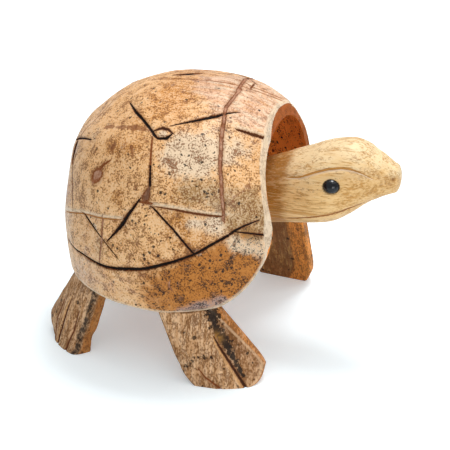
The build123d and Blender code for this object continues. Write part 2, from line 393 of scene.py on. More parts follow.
# Waviness: cell and random seed, with a finer share, and the same for the tool marks inside, with their depth
WAVE, RIPPLE, RIPPLE_SHARE = (9.0, 11), (3.7, 12), 0.5
GOUGING, GOUGING_DEPTH = (4.5, 13), 0.25

OUTER_ROWS, LIP_ROWS, INNER_ROWS, SHELL_COLUMNS = 180, 14, 28, 440

# How far the left side is out of true, in degrees and as shares
LEFT_TURN, LEFT_DROP, LEFT_SPREAD, LEFT_STRETCH = 4.0, 0.6, 0.97, 1.02

# Lines on the right side
SIDE_LINES = [
    Line(0, 1.00, 0.80, [(-144.8, 60.4, 0.4), (-126.0, 58.6, 1.1), (-113.0, 56.2, 1.0), (-98.2, 50.5, 0.8)]),
    Line(1, 1.00, 0.80, [(-90.8, 56.1, 0.3), (-72.3, 59.8, 1.3), (-56.0, 61.4, 1.5), (-48.7, 62.0, 1.0),
                         (-33.7, 61.9, 0.3)]),
    Line(2, 0.72, 0.60, [(6.2, 70.8, 1.0), (-43.3, 65.3, 1.2), (-57.4, 50.9, 1.4), (-61.0, 39.3, 1.3),
                         (-61.7, 27.8, 1.2), (-61.3, 18.1, 1.0)], 1.0),
    Line(1, 0.55, 0.50, [(-99.8, 49.5, 0.5), (-95.9, 38.4, 0.7)]),
    Line(1, 1.00, 0.60, [(-95.9, 38.4, 0.7), (-94.2, 30.7, 1.0)]),
    Line(2, 0.72, 0.90, [(-94.4, 30.5, 0.6), (-95.6, 26.0, 3.0)], 0.35),
    Line(0, 1.00, 0.90, [(-98.2, 24.9, 0.6), (-101.0, 20.5, 1.0), (-106.3, 12.8, 1.6), (-113.6, 3.7, 0.4)]),
    Line(1, 1.00, 0.70, [(-92.2, 22.3, 0.6), (-83.0, 14.2, 0.8), (-74.1, 4.1, 0.8)]),
    Line(2, 0.60, 0.40, [(-98.5, 23.6, 0.5), (-92.4, 24.1, 0.4)]),
    Line(0, 0.90, 0.30, [(-58.9, 12.1, 1.0), (-52.8, 14.2, 1.0), (-46.3, 15.7, 0.5)]),
    Line(2, 1.00, 0.90, [(180.0, -10.0, 0.5), (-152.9, -9.5, 0.5), (-133.6, -9.4, 0.7), (-123.4, -9.4, 1.0),
                         (-109.5, -8.0, 1.3), (-96.4, -5.0, 1.4), (-82.0, 0.4, 1.2), (-74.2, 3.8, 1.2),
                         (-59.6, 11.3, 1.0)]),
    Line(0, 0.90, 0.50, [(-130.6, 10.2, 0.9), (-122.0, 6.3, 0.7), (-116.4, 3.7, 0.5), (-108.2, -3.0, 0.3)]),
    Line(1, 0.60, 0.40, [(-116.6, 12.8, 0.7), (-117.0, 2.6, 0.8), (-118.8, -7.7, 0.5)], 1.0),
    Line(0, 1.00, 1.00, [(-163.8, 31.2, 0.9), (-142.0, 38.9, 0.5)]),
    Line(1, 0.95, 0.80, [(-157.0, 31.0, 3.2), (-153.0, 27.5, 2.4), (-150.0, 25.0, 1.0)]),
    Line(2, 0.70, 0.40, [(-149.6, 29.4, 0.6), (-148.5, 24.7, 0.5), (-142.2, 18.4, 0.4), (-139.3, 9.3, 0.4)]),
    Line(1, 0.50, 0.30, [(-167.6, 60.1, 0.4), (-166.3, 53.9, 0.4), (-159.1, 46.9, 0.4), (-157.2, 35.6, 0.4)]),
    Line(0, 0.76, 0.70, [(-44.4, 53.3, 0.5), (-37.0, 50.0, 0.9), (-30.7, 47.0, 0.8)]),
    Line(2, 0.80, 0.50, [(-101.2, 52.6, 0.5), (-96.3, 54.4, 1.2), (-91.5, 54.2, 1.0), (-88.2, 52.8, 0.5)]),
    Line(0, 0.95, 0.70, [(-100.6, 51.0, 0.6), (-96.1, 49.7, 0.9), (-91.0, 50.2, 1.2), (-88.2, 52.4, 0.5)]),
    Line(2, 0.58, 0.25, [(-124.9, 28.2, 4.4), (-124.7, 29.2, 4.2)], 1.0),
    Line(1, 0.55, 0.25, [(-124.6, 30.8, 1.3), (-123.6, 33.4, 1.0), (-120.5, 36.1, 0.5)]),
    # Painted shadow: a dark line under the first ledge, where the wood above overhangs
    Line(0, 0.72, 0.30, [(-90.5, 22.8, 0.4), (-81.6, 22.3, 0.7), (-74.5, 21.2, 0.8), (-67.6, 20.1, 0.8),
                         (-61.8, 19.4, 0.5)]),
    # Painted shadow under the second ledge
    Line(2, 0.40, 0.20, [(-152.0, 2.4, 0.3), (-130.6, 10.2, 0.5), (-116.6, 12.8, 0.6), (-106.9, 14.6, 0.3)]),
    # Painted shade along the bottom of the pocket, where its two walls meet
    Line(1, 0.85, 0.30, [(-57.0, 12.6, 0.4), (-46.0, 9.2, 0.8), (-37.0, 6.2, 0.8)]),
    Line(0, 0.80, 0.40, [(-84.3, -9.3, 0.4), (-84.6, -11.0, 0.8), (-83.3, -12.8, 0.4)], 1.0),
]

# Lines along the crown and down the back
CROWN_LINES = [
    Line(0, 1.00, 0.60, [(150.7, 75.5, 0.8), (136.0, 78.0, 2.4), (124.6, 78.3, 3.0), (108.0, 76.5, 2.2),
                         (96.4, 73.9, 0.8)]),
    Line(1, 0.45, 0.25, [(174.6, 75.8, 0.4), (73.7, 87.1, 0.4), (14.5, 71.7, 0.5), (20.9, 52.6, 0.5)]),
    Line(0, 0.45, 0.30, [(59.9, 74.1, 0.4), (25.8, 65.4, 0.5), (24.6, 52.3, 0.5)]),
    Line(2, 0.70, 0.40, [(35.1, 63.9, 0.6), (20.6, 66.6, 0.6)]),
    Line(0, 0.85, 0.70, [(179.0, 58.0, 0.4), (177.0, 34.0, 0.9), (183.0, 10.0, 0.8), (181.0, -9.5, 0.6)]),
    Line(1, 0.80, 0.60, [(181.0, 24.0, 0.7), (164.0, 8.0, 0.8), (152.0, -9.0, 0.6)]),
]

# Rusty smears: points with a half width
SMEARS = [
    [(-138.0, 46.3, 0.7), (-126.3, 49.9, 1.0), (-114.7, 51.9, 1.0), (-104.0, 52.6, 0.6)],
    [(-51.5, 28.6, 0.5), (-49.4, 30.4, 1.0), (-47.6, 32.4, 0.5)],
    [(-57.0, 26.4, 0.4), (-51.0, 28.8, 0.6), (-46.8, 29.6, 0.4)],
    [(-122.0, 41.5, 0.5), (-120.0, 38.5, 0.6)],
    [(-110.0, 44.0, 0.4), (-107.0, 41.0, 0.4)],
]

# Ledges: drop and run of the wood below the line, and its points from left to right
LEDGE_SOFT, LEDGE_END = 0.35, 2.5
# The painted highlight on each ledge's crest: how far above the line it lies, and its spread
CREST_RISE, CREST_SPREAD = 0.8, 0.5
LEDGES = [
    (1.1, 4.0, [(-90.5, 22.8), (-81.6, 22.3), (-74.5, 21.2), (-67.6, 20.1), (-61.8, 19.4)]),
    (0.5, 4.0, [(-154.4, 1.6), (-130.6, 10.2), (-116.6, 12.8), (-106.9, 14.6)]),
    (0.7, 4.0, [(-44.4, 53.3), (-37.0, 50.0), (-30.7, 47.0)]),
]

# Flats and pockets of the dome, on both sides: bearing and climb, as in the solid. Cuts that lie far outside
# the dome, or nearly along a direction, are bounded
FLAT_DEPTH, FLAT_SOFTNESS = 0.9, 0.2
FARTHEST_CUT, STEEPEST_CUT = 9.0, 0.05
FLATS = [
    (19.0, 60.0), (50.0, 40.0), (78.0, 40.0), (84.0, 71.0), (118.0, 33.0), (142.0, 54.0),
    (86.0, 12.0), (66.0, 13.0), (127.0, 2.0), (106.0, 6.0), (162.0, 15.0), (166.0, 46.0),
]
POCKET_SHALLOW_END, POCKET_DEEP_END = (62.0, 15.0), (38.0, 5.5)
POCKET_DEPTH, POCKET_UPPER_WALL, POCKET_LOWER_WALL = 2.2, 6.8, 3.6

# Worn chamfer on the rim over the right front leg: bearing, slant of its face and depth
LOW_CHAMFER = (-71.0, -38.0, 1.5)

# Patches of the wood, some of them painted shade, highlight, sheen and reflection: what the lip and the
# hollow have, and bearing, climb, spread in millimetres, strength
STRONGEST_PATCH = 1.2
PATCHES = {
    "warm": (0, 0, [
        (-105, 74, 8, 0.9), (74, 87, 8, 0.8), (-68, -5, 8, 0.9), (-57, -3, 7, 0.9), (-51, -2, 6, 0.8),
        (-61, -11, 8, 0.9), (-78, -9, 8, 0.6), (-90, -14, 8, 0.4), (-80, 16, 6, 0.7), (-112, 24, 7, 0.4),
        (-107, 11, 5, 0.5), (-121, 40, 4, 0.6), (-110, 44, 4, 0.5), (-70, 9, 5, 0.5), (-100, 62, 7, 0.5),
    ]),
    # Partly bleached wood and partly painted highlight and sheen, as on the pocket's lower wall, which faces
    # up into the light
    "pale": (1, 0, [
        (-84, 45, 6, 0.8), (-74, 42, 7, 0.9), (-66, 45, 6, 0.8), (-65, 16, 3.5, 1.0), (-74, 16.5, 2.5, 0.8),
        (-57, 7.5, 3, 1.1), (-50, 5.5, 3, 1.2), (-44, 3.5, 3, 1.2), (-48, 46, 7, 0.5), (-136, -14, 8, 0.4),
        (-61, 23, 4, 0.4), (-145, 42, 7, 0.4), (-72.4, 4.7, 0.9, 1.6), (-121.9, 7.2, 0.9, 1.6),
        (-94, 51.8, 1.2, 1.4),
    ]),
    # Painted shade on the underside below the girth, which faces down
    "deep": (0, 0, [
        (-68, -5, 9, 0.9), (-57, -3, 8, 1.0), (-51, -2, 7, 1.0), (-61, -12, 9, 1.1), (-80, -12, 9, 0.8),
        (-92, -16, 9, 0.6), (-46, -6, 6, 1.0), (-50, 11, 3, 0.6),
    ]),
    # Partly pink wood and partly painted sheen: the light caught on the upper right and low on the left
    "pink": (0, 0, [
        (-13, 64, 8, 1.0), (-8, 57, 8, 1.0), (-36, 80, 7, 0.8), (-45, 66, 6, 0.6), (-30, 56, 7, 0.6),
        (-152, 12, 12, 0.5), (-130, -18, 10, 0.6), (-105, -18, 9, 0.4),
    ]),
    # Partly dull wood and partly painted shade on the pocket's upper wall, which faces down
    "dull": (0, 0, [
        (-76, 30, 5, 0.8), (-65, 28, 5, 0.8), (-52, 26, 6, 0.7), (-50, 13, 4, 1.1), (-44, 11, 4, 1.1),
        (-57, 16, 3, 0.9), (-46, 20, 5, 0.7), (-118, 0, 5, 0.5), (-95, 33, 5, 0.3),
    ]),
    "specks": (0.4, 0.6, [
        (-78, 38, 8, 0.9), (-66, 34, 7, 0.9), (-95, 6, 9, 0.7), (-60, -4, 9, 0.7), (-80, -8, 9, 0.7),
        (-88, 12, 8, 0.7), (-55, 24, 8, 0.7), (-100, 18, 6, 0.5),
    ]),
    # Painted reflection in grey, mostly on the chamfer
    "grey": (0, 0, [
        (-71, -22, 3.6, 1.3), (-79, -24, 2.8, 1.1), (-63, -19, 3.0, 1.1), (-152, 30, 4, 0.5),
    ]),
}


def on_left(points):
    """A line or patch of the right side carried to the left, a little out of true."""
    return [(LEFT_TURN - LEFT_SPREAD * bearing, LEFT_STRETCH * climb - LEFT_DROP, *rest)
            for bearing, climb, *rest in points]


def compass(bearing, climb):
    """Unit vector at a bearing round the shell's axis and a climb over its girth, in degrees."""
    b, c = np.radians(bearing), np.radians(climb)
    return np.array([np.cos(b) * np.cos(c), np.sin(b) * np.cos(c), np.sin(c)])


def wall_distance(directions, radius, rise, power, foot_radius, skirt):
    """Distance from the girth's centre to a wall along unit directions with flat part c and upright part s.

    Over the girth the wall is the superellipse (r / radius)^power + (z / rise)^power = 1, so the distance is
    ((c / radius)^power + (s / rise)^power)^(-1 / power). Below it the wall is an arc, upright at the girth,
    that reaches foot_radius at the depth of the skirt: the ray meets that circle at
    m c + sqrt(m^2 c^2 + arc^2 - m^2), where m is the radius of the arc's centre.
    """
    flat = np.hypot(directions[..., 0], directions[..., 1])
    upright = directions[..., 2]
    over = ((flat / radius) ** power + (np.maximum(upright, 0) / rise) ** power) ** (-1 / power)
    tuck = radius - foot_radius
    arc = (skirt**2 + tuck**2) / (2 * tuck)
    middle = radius - arc
    under = middle * flat + np.sqrt((middle * flat) ** 2 + arc**2 - middle**2)
    return np.where(upright > 0, over, under)


def inside_side_view(points, girth_z):
    """Positive where a point lies over the rim and behind the leaning mouth, whose corner is a round."""
    x, z = points[..., 0], points[..., 2] + girth_z - RIM_Z
    slope = np.tan(MOUTH_LEAN)
    foot = SHELL_RADIUS - MOUTH_SETBACK + slope * (girth_z - RIM_Z)
    behind = (foot - x - slope * z) * np.cos(MOUTH_LEAN)
    corner_x = foot - slope * MOUTH_CORNER - MOUTH_CORNER / np.cos(MOUTH_LEAN)
    from_x, from_z = x - corner_x, z - MOUTH_CORNER
    in_corner = (from_x > 0) & (from_z * np.cos(MOUTH_LEAN) < from_x * np.sin(MOUTH_LEAN))
    return np.where(in_corner, MOUTH_CORNER - np.hypot(from_x, from_z), np.minimum(z, behind))


def tilted_directions(angle, turn):
    """Unit vectors at an angle from a pole that tilts to the rear, turned round that pole."""
    pole = np.array([-np.sin(POLE_TILT), 0, np.cos(POLE_TILT)])
    front = np.array([np.cos(POLE_TILT), 0, np.sin(POLE_TILT)])
    left = np.array([0.0, 1.0, 0.0])
    round_pole = np.cos(turn)[..., None] * front + np.sin(turn)[..., None] * left
    return np.cos(angle)[..., None] * pole + np.sin(angle)[..., None] * round_pole


def edge_angles(turn, wall, girth_z):
    """Angle from the pole at which each column of a wall leaves the side view, found by halving."""
    low, high = (np.full_like(turn, end) for end in EDGE_SEARCH)
    for _ in range(EDGE_HALVINGS):
        middle = (low + high) / 2
        directions = tilted_directions(middle, turn)
        kept = inside_side_view(directions * wall(directions)[..., None], girth_z) > 0
        low, high = np.where(kept, middle, low), np.where(kept, high, middle)
    return low


def patch_strength(directions, patches):
    """Sum of bell-shaped patches."""
    total = np.zeros(len(directions))
    for bearing, climb, spread, strength in patches:
        gap = np.linalg.norm(directions - compass(bearing, climb), axis=1) * SHELL_RADIUS
        total += strength * bell(gap, 0, spread)
    return np.clip(total, 0, STRONGEST_PATCH)


def shell_marks(directions):
    """Carved lines of both sides and the crown, measured along great circles."""
    left_lines = [line._replace(points=on_left(line.points)) for line in SIDE_LINES]
    lines = SIDE_LINES + CROWN_LINES + left_lines
    return Marks(len(directions), lines, partial(shell_stretch, directions))


def smear_strength(directions):
    """Strength of the nearest smear."""
    smears = SMEARS + [on_left(smear) for smear in SMEARS]
    return np.max([streak_strength(smear, partial(shell_stretch, directions)) for smear in smears], axis=0)


def ledge_shape(directions):
    """Depth below the ledges, fading as exp(-distance / run), and the painted highlight on each crest."""
    total, crest = np.zeros(len(directions)), np.zeros(len(directions))
    for drop, run, line in LEDGES + [(d, r, on_left(line)[::-1]) for d, r, line in LEDGES]:
        closest = np.full(len(directions), FAR)
        signed = np.full(len(directions), FAR)
        for start, end in zip(line, line[1:]):
            distance, _, _ = shell_stretch(directions, start, end)
            nearer = distance < closest
            closest[nearer] = distance[nearer]
            pole = np.cross(compass(*start), compass(*end))
            across = directions @ (pole / np.linalg.norm(pole)) * SHELL_RADIUS
            signed[nearer] = across[nearer]
        past_end = np.sqrt(np.maximum(0, closest**2 - signed**2))
        below = smooth(signed, LEDGE_SOFT, -LEDGE_SOFT) * np.exp(-np.maximum(0, -signed) / run)
        fade = bell(past_end, 0, LEDGE_END)
        total += drop * below * fade
        crest = np.maximum(crest, fade * bell(signed, CREST_RISE, CREST_SPREAD))
    return total, crest


def dome_spot(bearing, climb, wall):
    """Point on the dome, from the girth's centre, and the normal of the superellipsoid there."""
    toward = compass(bearing, climb)
    flat_part = toward[:2] * np.hypot(*toward[:2]) ** (CROWN_POWER - 2)
    normal = np.array([*flat_part, toward[2] ** (CROWN_POWER - 1)])
    return toward * wall(toward), normal / np.linalg.norm(normal)


def plane_reach(directions, spot, normal):
    """Distance along unit directions d to the plane through a spot: (spot . normal) / (d . normal)."""
    return spot @ normal / np.maximum(directions @ normal, STEEPEST_CUT)


def pocket_reach(directions, side, wall):
    """Distance to a valley between two planes that meet along a straight bed: the farther of the two."""
    shallow, _ = dome_spot(side * POCKET_SHALLOW_END[0], POCKET_SHALLOW_END[1], wall)
    spot, outward = dome_spot(side * POCKET_DEEP_END[0], POCKET_DEEP_END[1], wall)
    deep = spot - outward * POCKET_DEPTH
    bed = (shallow - deep) / np.linalg.norm(shallow - deep)
    outward = outward - (outward @ bed) * bed
    outward = outward / np.linalg.norm(outward)
    upward = -side * np.cross(bed, outward)
    upper = plane_reach(directions, deep, outward * POCKET_UPPER_WALL - upward * POCKET_DEPTH)
    lower = plane_reach(directions, deep, outward * POCKET_LOWER_WALL + upward * POCKET_DEPTH)
    return np.maximum(upper, lower)


def pared_dome(directions, distance, wall, rim_edge):
    """Distance to the dome with its flats, pockets and chamfer pared off: a soft minimum of dome and cuts.

    A flat's plane is square to the dome at its middle and lies its depth below it. The soft minimum of
    distances t is -s log(sum of exp(-t / s)), with s its softness.
    """
    cuts = [distance]
    for side in (1, -1):
        for bearing, climb in FLATS:
            spot, normal = dome_spot(side * bearing, climb, wall)
            cuts.append(plane_reach(directions, spot - FLAT_DEPTH * normal, normal))
        cuts.append(pocket_reach(directions, side, wall))
    bearing, slant, depth = LOW_CHAMFER
    face = compass(bearing, slant)
    corner = compass(bearing, 0) * rim_edge[0] + [0, 0, rim_edge[1]]
    cuts.append(plane_reach(directions, corner - face * depth, face))
    total = sum(np.exp(-np.minimum(cut - SHELL_RADIUS, FARTHEST_CUT) / FLAT_SOFTNESS) for cut in cuts)
    return SHELL_RADIUS - FLAT_SOFTNESS * np.log(total)


def shell_attributes(directions, marks, edge_highlight, lip_stain):
    """What the shell's material reads on the outer wall, with plain values on the lip and the inner wall."""

    def whole(outer_values, on_lip, inside):
        """Values of the outer wall, then those given for the lip and the inner wall."""
        outer_values = outer_values.reshape(OUTER_ROWS, SHELL_COLUMNS, -1)
        width = outer_values.shape[-1]
        return np.concatenate([
            outer_values,
            np.full((LIP_ROWS, SHELL_COLUMNS, width), on_lip, float),
            np.full((INNER_ROWS, SHELL_COLUMNS, width), inside, float),
        ])

    attributes = {name: whole(values, 0, 0) for name, values in marks.attributes().items()}
    attributes["cut_lines"] = whole(marks.attributes()["cut_lines"], Marks.clear, Marks.clear)
    for name, (on_lip, inside, patches) in PATCHES.items():
        attributes[name] = whole(patch_strength(directions, patches + on_left(patches)), on_lip, inside)
    attributes["smear"] = whole(smear_strength(directions), 0, 0)
    # The painted highlight on the edges, also over the lip
    attributes["edge"] = whole(edge_highlight, LIP_HIGHLIGHT, 0)
    attributes["hollow"] = whole(np.zeros(len(directions)), lip_stain[..., None] / 2, 1)
    return attributes


def shell_piece(settings, material):
    """The shell as one closed sheet: the outer wall from its pole to the edge, the lip, the inner wall back.

    A row holds one share of the angle from the pole to the edge. Rows of the lip lie on the straight line
    from the outer edge to the inner edge of the same column. The lip shows a painted highlight over a width
    that grows from its least as exp(swing (1 - cos(turn - middle))).
    """
    skirt, rim_radius = settings.skirt / MM, SHELL_RADIUS - settings.rim_tuck / MM
    girth_z, edge = RIM_Z + skirt, settings.edge_round / MM
    rise = CROWN_Z - girth_z

    def outer_wall(directions):
        """Distance from the girth's centre to the outer wall."""
        return wall_distance(directions, SHELL_RADIUS, rise, CROWN_POWER, rim_radius, skirt)

    def inner_wall(directions):
        """Distance from the girth's centre to the inner wall."""
        return wall_distance(directions, SHELL_RADIUS - settings.wall / MM, rise - settings.roof / MM,
                             HOLLOW_POWER, rim_radius - settings.rim_land / MM, skirt)

    turn = round_angles(SHELL_COLUMNS)
    outer_end = edge_angles(turn, outer_wall, girth_z)
    inner_end = edge_angles(turn, inner_wall, girth_z)

    outer_share = np.arange(1, OUTER_ROWS + 1) / OUTER_ROWS
    outer_angle = np.outer(outer_share, outer_end - edge / SHELL_RADIUS)
    outer_turn = np.broadcast_to(turn, outer_angle.shape)
    outer_directions = tilted_directions(outer_angle, outer_turn).reshape(-1, 3)
    marks = shell_marks(outer_directions)
    plain = outer_wall(outer_directions)
    places = outer_directions * SHELL_RADIUS
    waves = lattice_noise(places, *WAVE) + RIPPLE_SHARE * lattice_noise(places, *RIPPLE)
    carved = pared_dome(outer_directions, plain, outer_wall, (rim_radius, -skirt))
    carved -= settings.unevenness / MM * (1 + waves) / 2
    ledge_drop, ledge_highlight = ledge_shape(outer_directions)
    carved -= ledge_drop + settings.cut_depth * marks.sunk
    outer = (outer_directions * carved[:, None]).reshape(OUTER_ROWS, SHELL_COLUMNS, 3)

    inner_share = np.arange(INNER_ROWS, 0, -1) / INNER_ROWS
    inner_angle = np.outer(inner_share, inner_end - edge / SHELL_RADIUS)
    inner_directions = tilted_directions(inner_angle, np.broadcast_to(turn, inner_angle.shape))
    hollow = inner_wall(inner_directions)
    hollow = hollow + GOUGING_DEPTH * lattice_noise(inner_directions * SHELL_RADIUS, *GOUGING)
    inner = inner_directions * hollow[..., None]

    edge_direction = tilted_directions(outer_end, turn)
    sunk_edge = carved[-SHELL_COLUMNS:] / plain[-SHELL_COLUMNS:]
    lip_out = edge_direction * (outer_wall(edge_direction) * sunk_edge)[:, None]
    lip_direction = tilted_directions(inner_end, turn)
    lip_in = lip_direction * inner_wall(lip_direction)[:, None]
    across = lip_in - lip_out
    margin = edge / np.linalg.norm(across, axis=1)
    lip_share = margin + np.linspace(0, 1, LIP_ROWS)[:, None] * (1 - 2 * margin)
    lip = lip_out + lip_share[..., None] * across
    pale_width = LIP_PALE * np.exp(LIP_SWING * (1 - np.cos(turn - LIP_MIDDLE)))
    from_edge = lip_share * np.linalg.norm(across, axis=1)
    lip_stain = smooth(from_edge, pale_width - LIP_SOFT, pale_width + LIP_SOFT)

    centre = np.array([AXIS_X, 0, girth_z])
    grid = np.concatenate([outer, lip, inner]) + centre
    pole = tilted_directions(np.zeros(1), np.zeros(1))
    first_pole = centre + pole[0] * carved[:SHELL_COLUMNS].mean()
    last_pole = centre + pole[0] * inner_wall(pole)[0]

    to_edge = (1 - np.repeat(outer_share, SHELL_COLUMNS)) * np.tile(outer_end, OUTER_ROWS) * SHELL_RADIUS
    edge_highlight = np.maximum(smooth(to_edge, *EDGE_HIGHLIGHT_FADE), ledge_highlight)
    attributes = shell_attributes(outer_directions, marks, edge_highlight, lip_stain)
    return closed_piece("carved_shell", "shell", "shell", material, grid, first_pole, last_pole,
                        attributes)


# Head: elliptical sections by reach ahead of the shell's axis, height over the neck's middle, half height and
# half width

NECK_Z = 46.0
NECK_TILT, NECK_BEND = np.radians(15.05), 9.0
SLUG_RADIUS, SLUG_SHOW = 6.55, 2.0
BORE_MOUTH, BORE_EDGE = 8.0, 0.3
NOSE_ROWS, BODY_ROWS, HEAD_COLUMNS = 24, 176, 240
HEAD_ROWS = NOSE_ROWS + BODY_ROWS
EVEN_SHARE, CLOSE_SHARE = 0.45, 0.55
NOSE_BLUNTNESS = 0.8
SECTIONS = [
    (-20.0, -7.8, 8.7, 8.5), (-6.0, -4.0, 9.5, 9.3), (9.0, 0.0, 10.4, 10.2), (20.0, 2.9, 11.0, 10.5),
    (28.0, 5.0, 11.4, 10.7), (32.85, 6.3, 12.1, 11.2), (37.7, 7.5, 12.8, 11.9), (42.55, 8.9, 13.5, 12.5),
    (47.4, 10.3, 13.5, 12.3), (52.4, 12.2, 12.2, 11.2), (57.35, 13.4, 9.5, 9.2), (62.3, 13.2, 6.5, 6.5),
    (65.4, 12.8, 4.8, 4.7),
]
NECK_END, NOSE_START = SECTIONS[0][0], SECTIONS[-1][0]
HEAD_GIRTH = 12.0

# Beads: how far they are flattened, the stem behind them and the ring round them, as shares of the radius
BEAD_FORM = (0.94, 0.82)
BEAD_ROWS, BEAD_COLUMNS = 40, 64
STEM_BEND, STEM_RADIUS = (2.2, 2.8), 0.35
SOCKET_RING = (0.98, 0.86)

# The brow and the mouth by reach, angle from the crown of the head (degrees) and width
BROW = Line(0, 0.30, 1.0, [
    (33.0, 57.2, 0.3), (37.1, 58.5, 0.5), (41.8, 56.0, 0.6), (46.3, 54.5, 0.6),
    (50.2, 56.5, 0.6), (54.1, 62.5, 0.5), (56.9, 69.5, 0.4), (59.6, 78.0, 0.3),
])
MOUTH = Line(1, 0.40, 0.8, [
    (33.0, 131.5, 0.6), (35.5, 131.0, 0.9), (39.7, 129.0, 1.1), (43.5, 127.5, 1.2), (48.1, 127.5, 1.2),
    (52.3, 131.5, 1.2), (55.0, 137.5, 1.1), (58.1, 146.0, 0.9), (60.0, 180.0, 0.6),
])

# Where the wood drops below those lines, the lid under the brow, the chin and the step behind the snout
LINE_EDGE = (-0.3, 0.4)
BROW_STARTS, BROW_ENDS, BROW_RUN = (32.0, 38.0), (61.0, 55.0), 5.0
LID_HEIGHT, LID_DROP, LID_SPREAD = 0.3, 1.5, 0.8
MOUTH_STARTS, CHIN_DEPTH, CHIN_RUN = (33.0, 40.0), 0.2, 4.0
STEP_DEPTH, STEP_REACH, STEP_SPREAD, STEP_SIDES = 0.35, 59.0, 1.5, (70.0, 25.0)

# Grain: stretch along the head, cell, random seed and height
GRAIN_STRETCH, GRAIN, GRAIN_HEIGHT = [0.25, 1, 1], (1.6, 21), 0.05

# Reaches and angles between which the colours change, and half heights below which the relief fades
# The neck darkens towards the shell: stained wood, and painted shade where it goes into the shell
NECK_STAIN_AND_SHADE, GOLD_REACH, GOLD_SIDES = (36.5, 28.0), (44.0, 54.0), (50.0, 80.0)
POCK_GIRTH, RELIEF_GIRTH = 3.0, 5.0

# Pocks and nostrils: reach, angle, radius, depth
POCKS = [
    (65.5, 73.5, 0.7, 0.45), (64.7, 92.5, 0.6, 0.35), (61.5, 75.0, 0.45, 0.25), (62.2, 94.5, 0.45, 0.25),
    (62.5, 112.5, 0.4, 0.25), (56.1, 73.0, 0.4, 0.25), (60.5, 62.0, 0.4, 0.2), (44.4, 145.5, 0.6, 0.25),
    (46.9, 147.5, 0.6, 0.25),
]


def on_head(line):
    """A line of the head laid flat: reach, distance round the head from its crown, and width."""
    return line._replace(points=[(r, np.radians(a) * HEAD_GIRTH, width) for r, a, width in line.points])


def below_line(flat, line, run):
    """Drop of the wood below a line: a soft edge on it, fading as exp(-distance / run), and the distance."""
    reaches, rounds, _ = np.transpose(on_head(line).points)
    distance = flat[..., 1] - np.interp(flat[..., 0], reaches, rounds)
    return smooth(distance, *LINE_EDGE) * np.exp(-np.maximum(0, distance) / run), distance


def head_rows():
    """Reach of each row, and its ellipse's height, half height and half width.

    Rows lie closer towards the nose, where they round off past the last section as a quarter ellipse.
    """
    sections = np.array(SECTIONS)
    bend = np.linspace(0, np.pi / 2, NOSE_ROWS, endpoint=False) + np.pi / 2 / NOSE_ROWS
    nose_reach = NOSE_START + (NOSE_REACH - NOSE_START) * np.cos(bend)
    even = np.linspace(0, 1, BODY_ROWS)
    body_reach = NOSE_START + (NECK_END - NOSE_START) * (EVEN_SHARE * even + CLOSE_SHARE * even**2)
    reach = np.concatenate([nose_reach, body_reach])
    found = cubic_through(np.minimum(reach, NOSE_START), sections[:, 0], sections[:, 1:])
    shrink = np.concatenate([np.sin(bend) ** NOSE_BLUNTNESS, np.ones(BODY_ROWS)])
    return reach, found[:, 0], found[:, 1] * shrink, found[:, 2] * shrink


def head_carving(reaches, crowns, half_height, settings):
    """Relief of the head's carving, the pits in it and the marks of its lines."""
    flat = np.stack([reaches, np.radians(crowns) * HEAD_GIRTH], axis=-1)
    spots = flat.reshape(-1, 2)
    marks = Marks(len(spots), [on_head(BROW), on_head(MOUTH)], partial(flat_stretch, spots))
    under_brow, from_brow = below_line(flat, BROW, BROW_RUN)
    under_mouth, _ = below_line(flat, MOUTH, CHIN_RUN)
    along_brow = smooth(reaches, *BROW_STARTS) * smooth(reaches, *BROW_ENDS)
    relief = LID_HEIGHT * along_brow * bell(from_brow, LID_DROP, LID_SPREAD)
    relief -= settings.brow_drop / MM * along_brow * under_brow
    relief -= CHIN_DEPTH * smooth(reaches, *MOUTH_STARTS) * under_mouth
    relief -= STEP_DEPTH * bell(reaches, STEP_REACH, STEP_SPREAD) * smooth(crowns, *STEP_SIDES)
    pits = np.zeros_like(reaches)
    for pock_reach, pock_angle, radius, depth in POCKS:
        local = np.maximum(half_height, POCK_GIRTH)[:, None]
        gap = np.hypot(reaches - pock_reach, np.radians(crowns - pock_angle) * local)
        pits = np.maximum(pits, depth * bell(gap, 0, radius))
    relief -= pits + settings.line_depth / MM * marks.sunk.reshape(reaches.shape)
    return relief, pits, marks


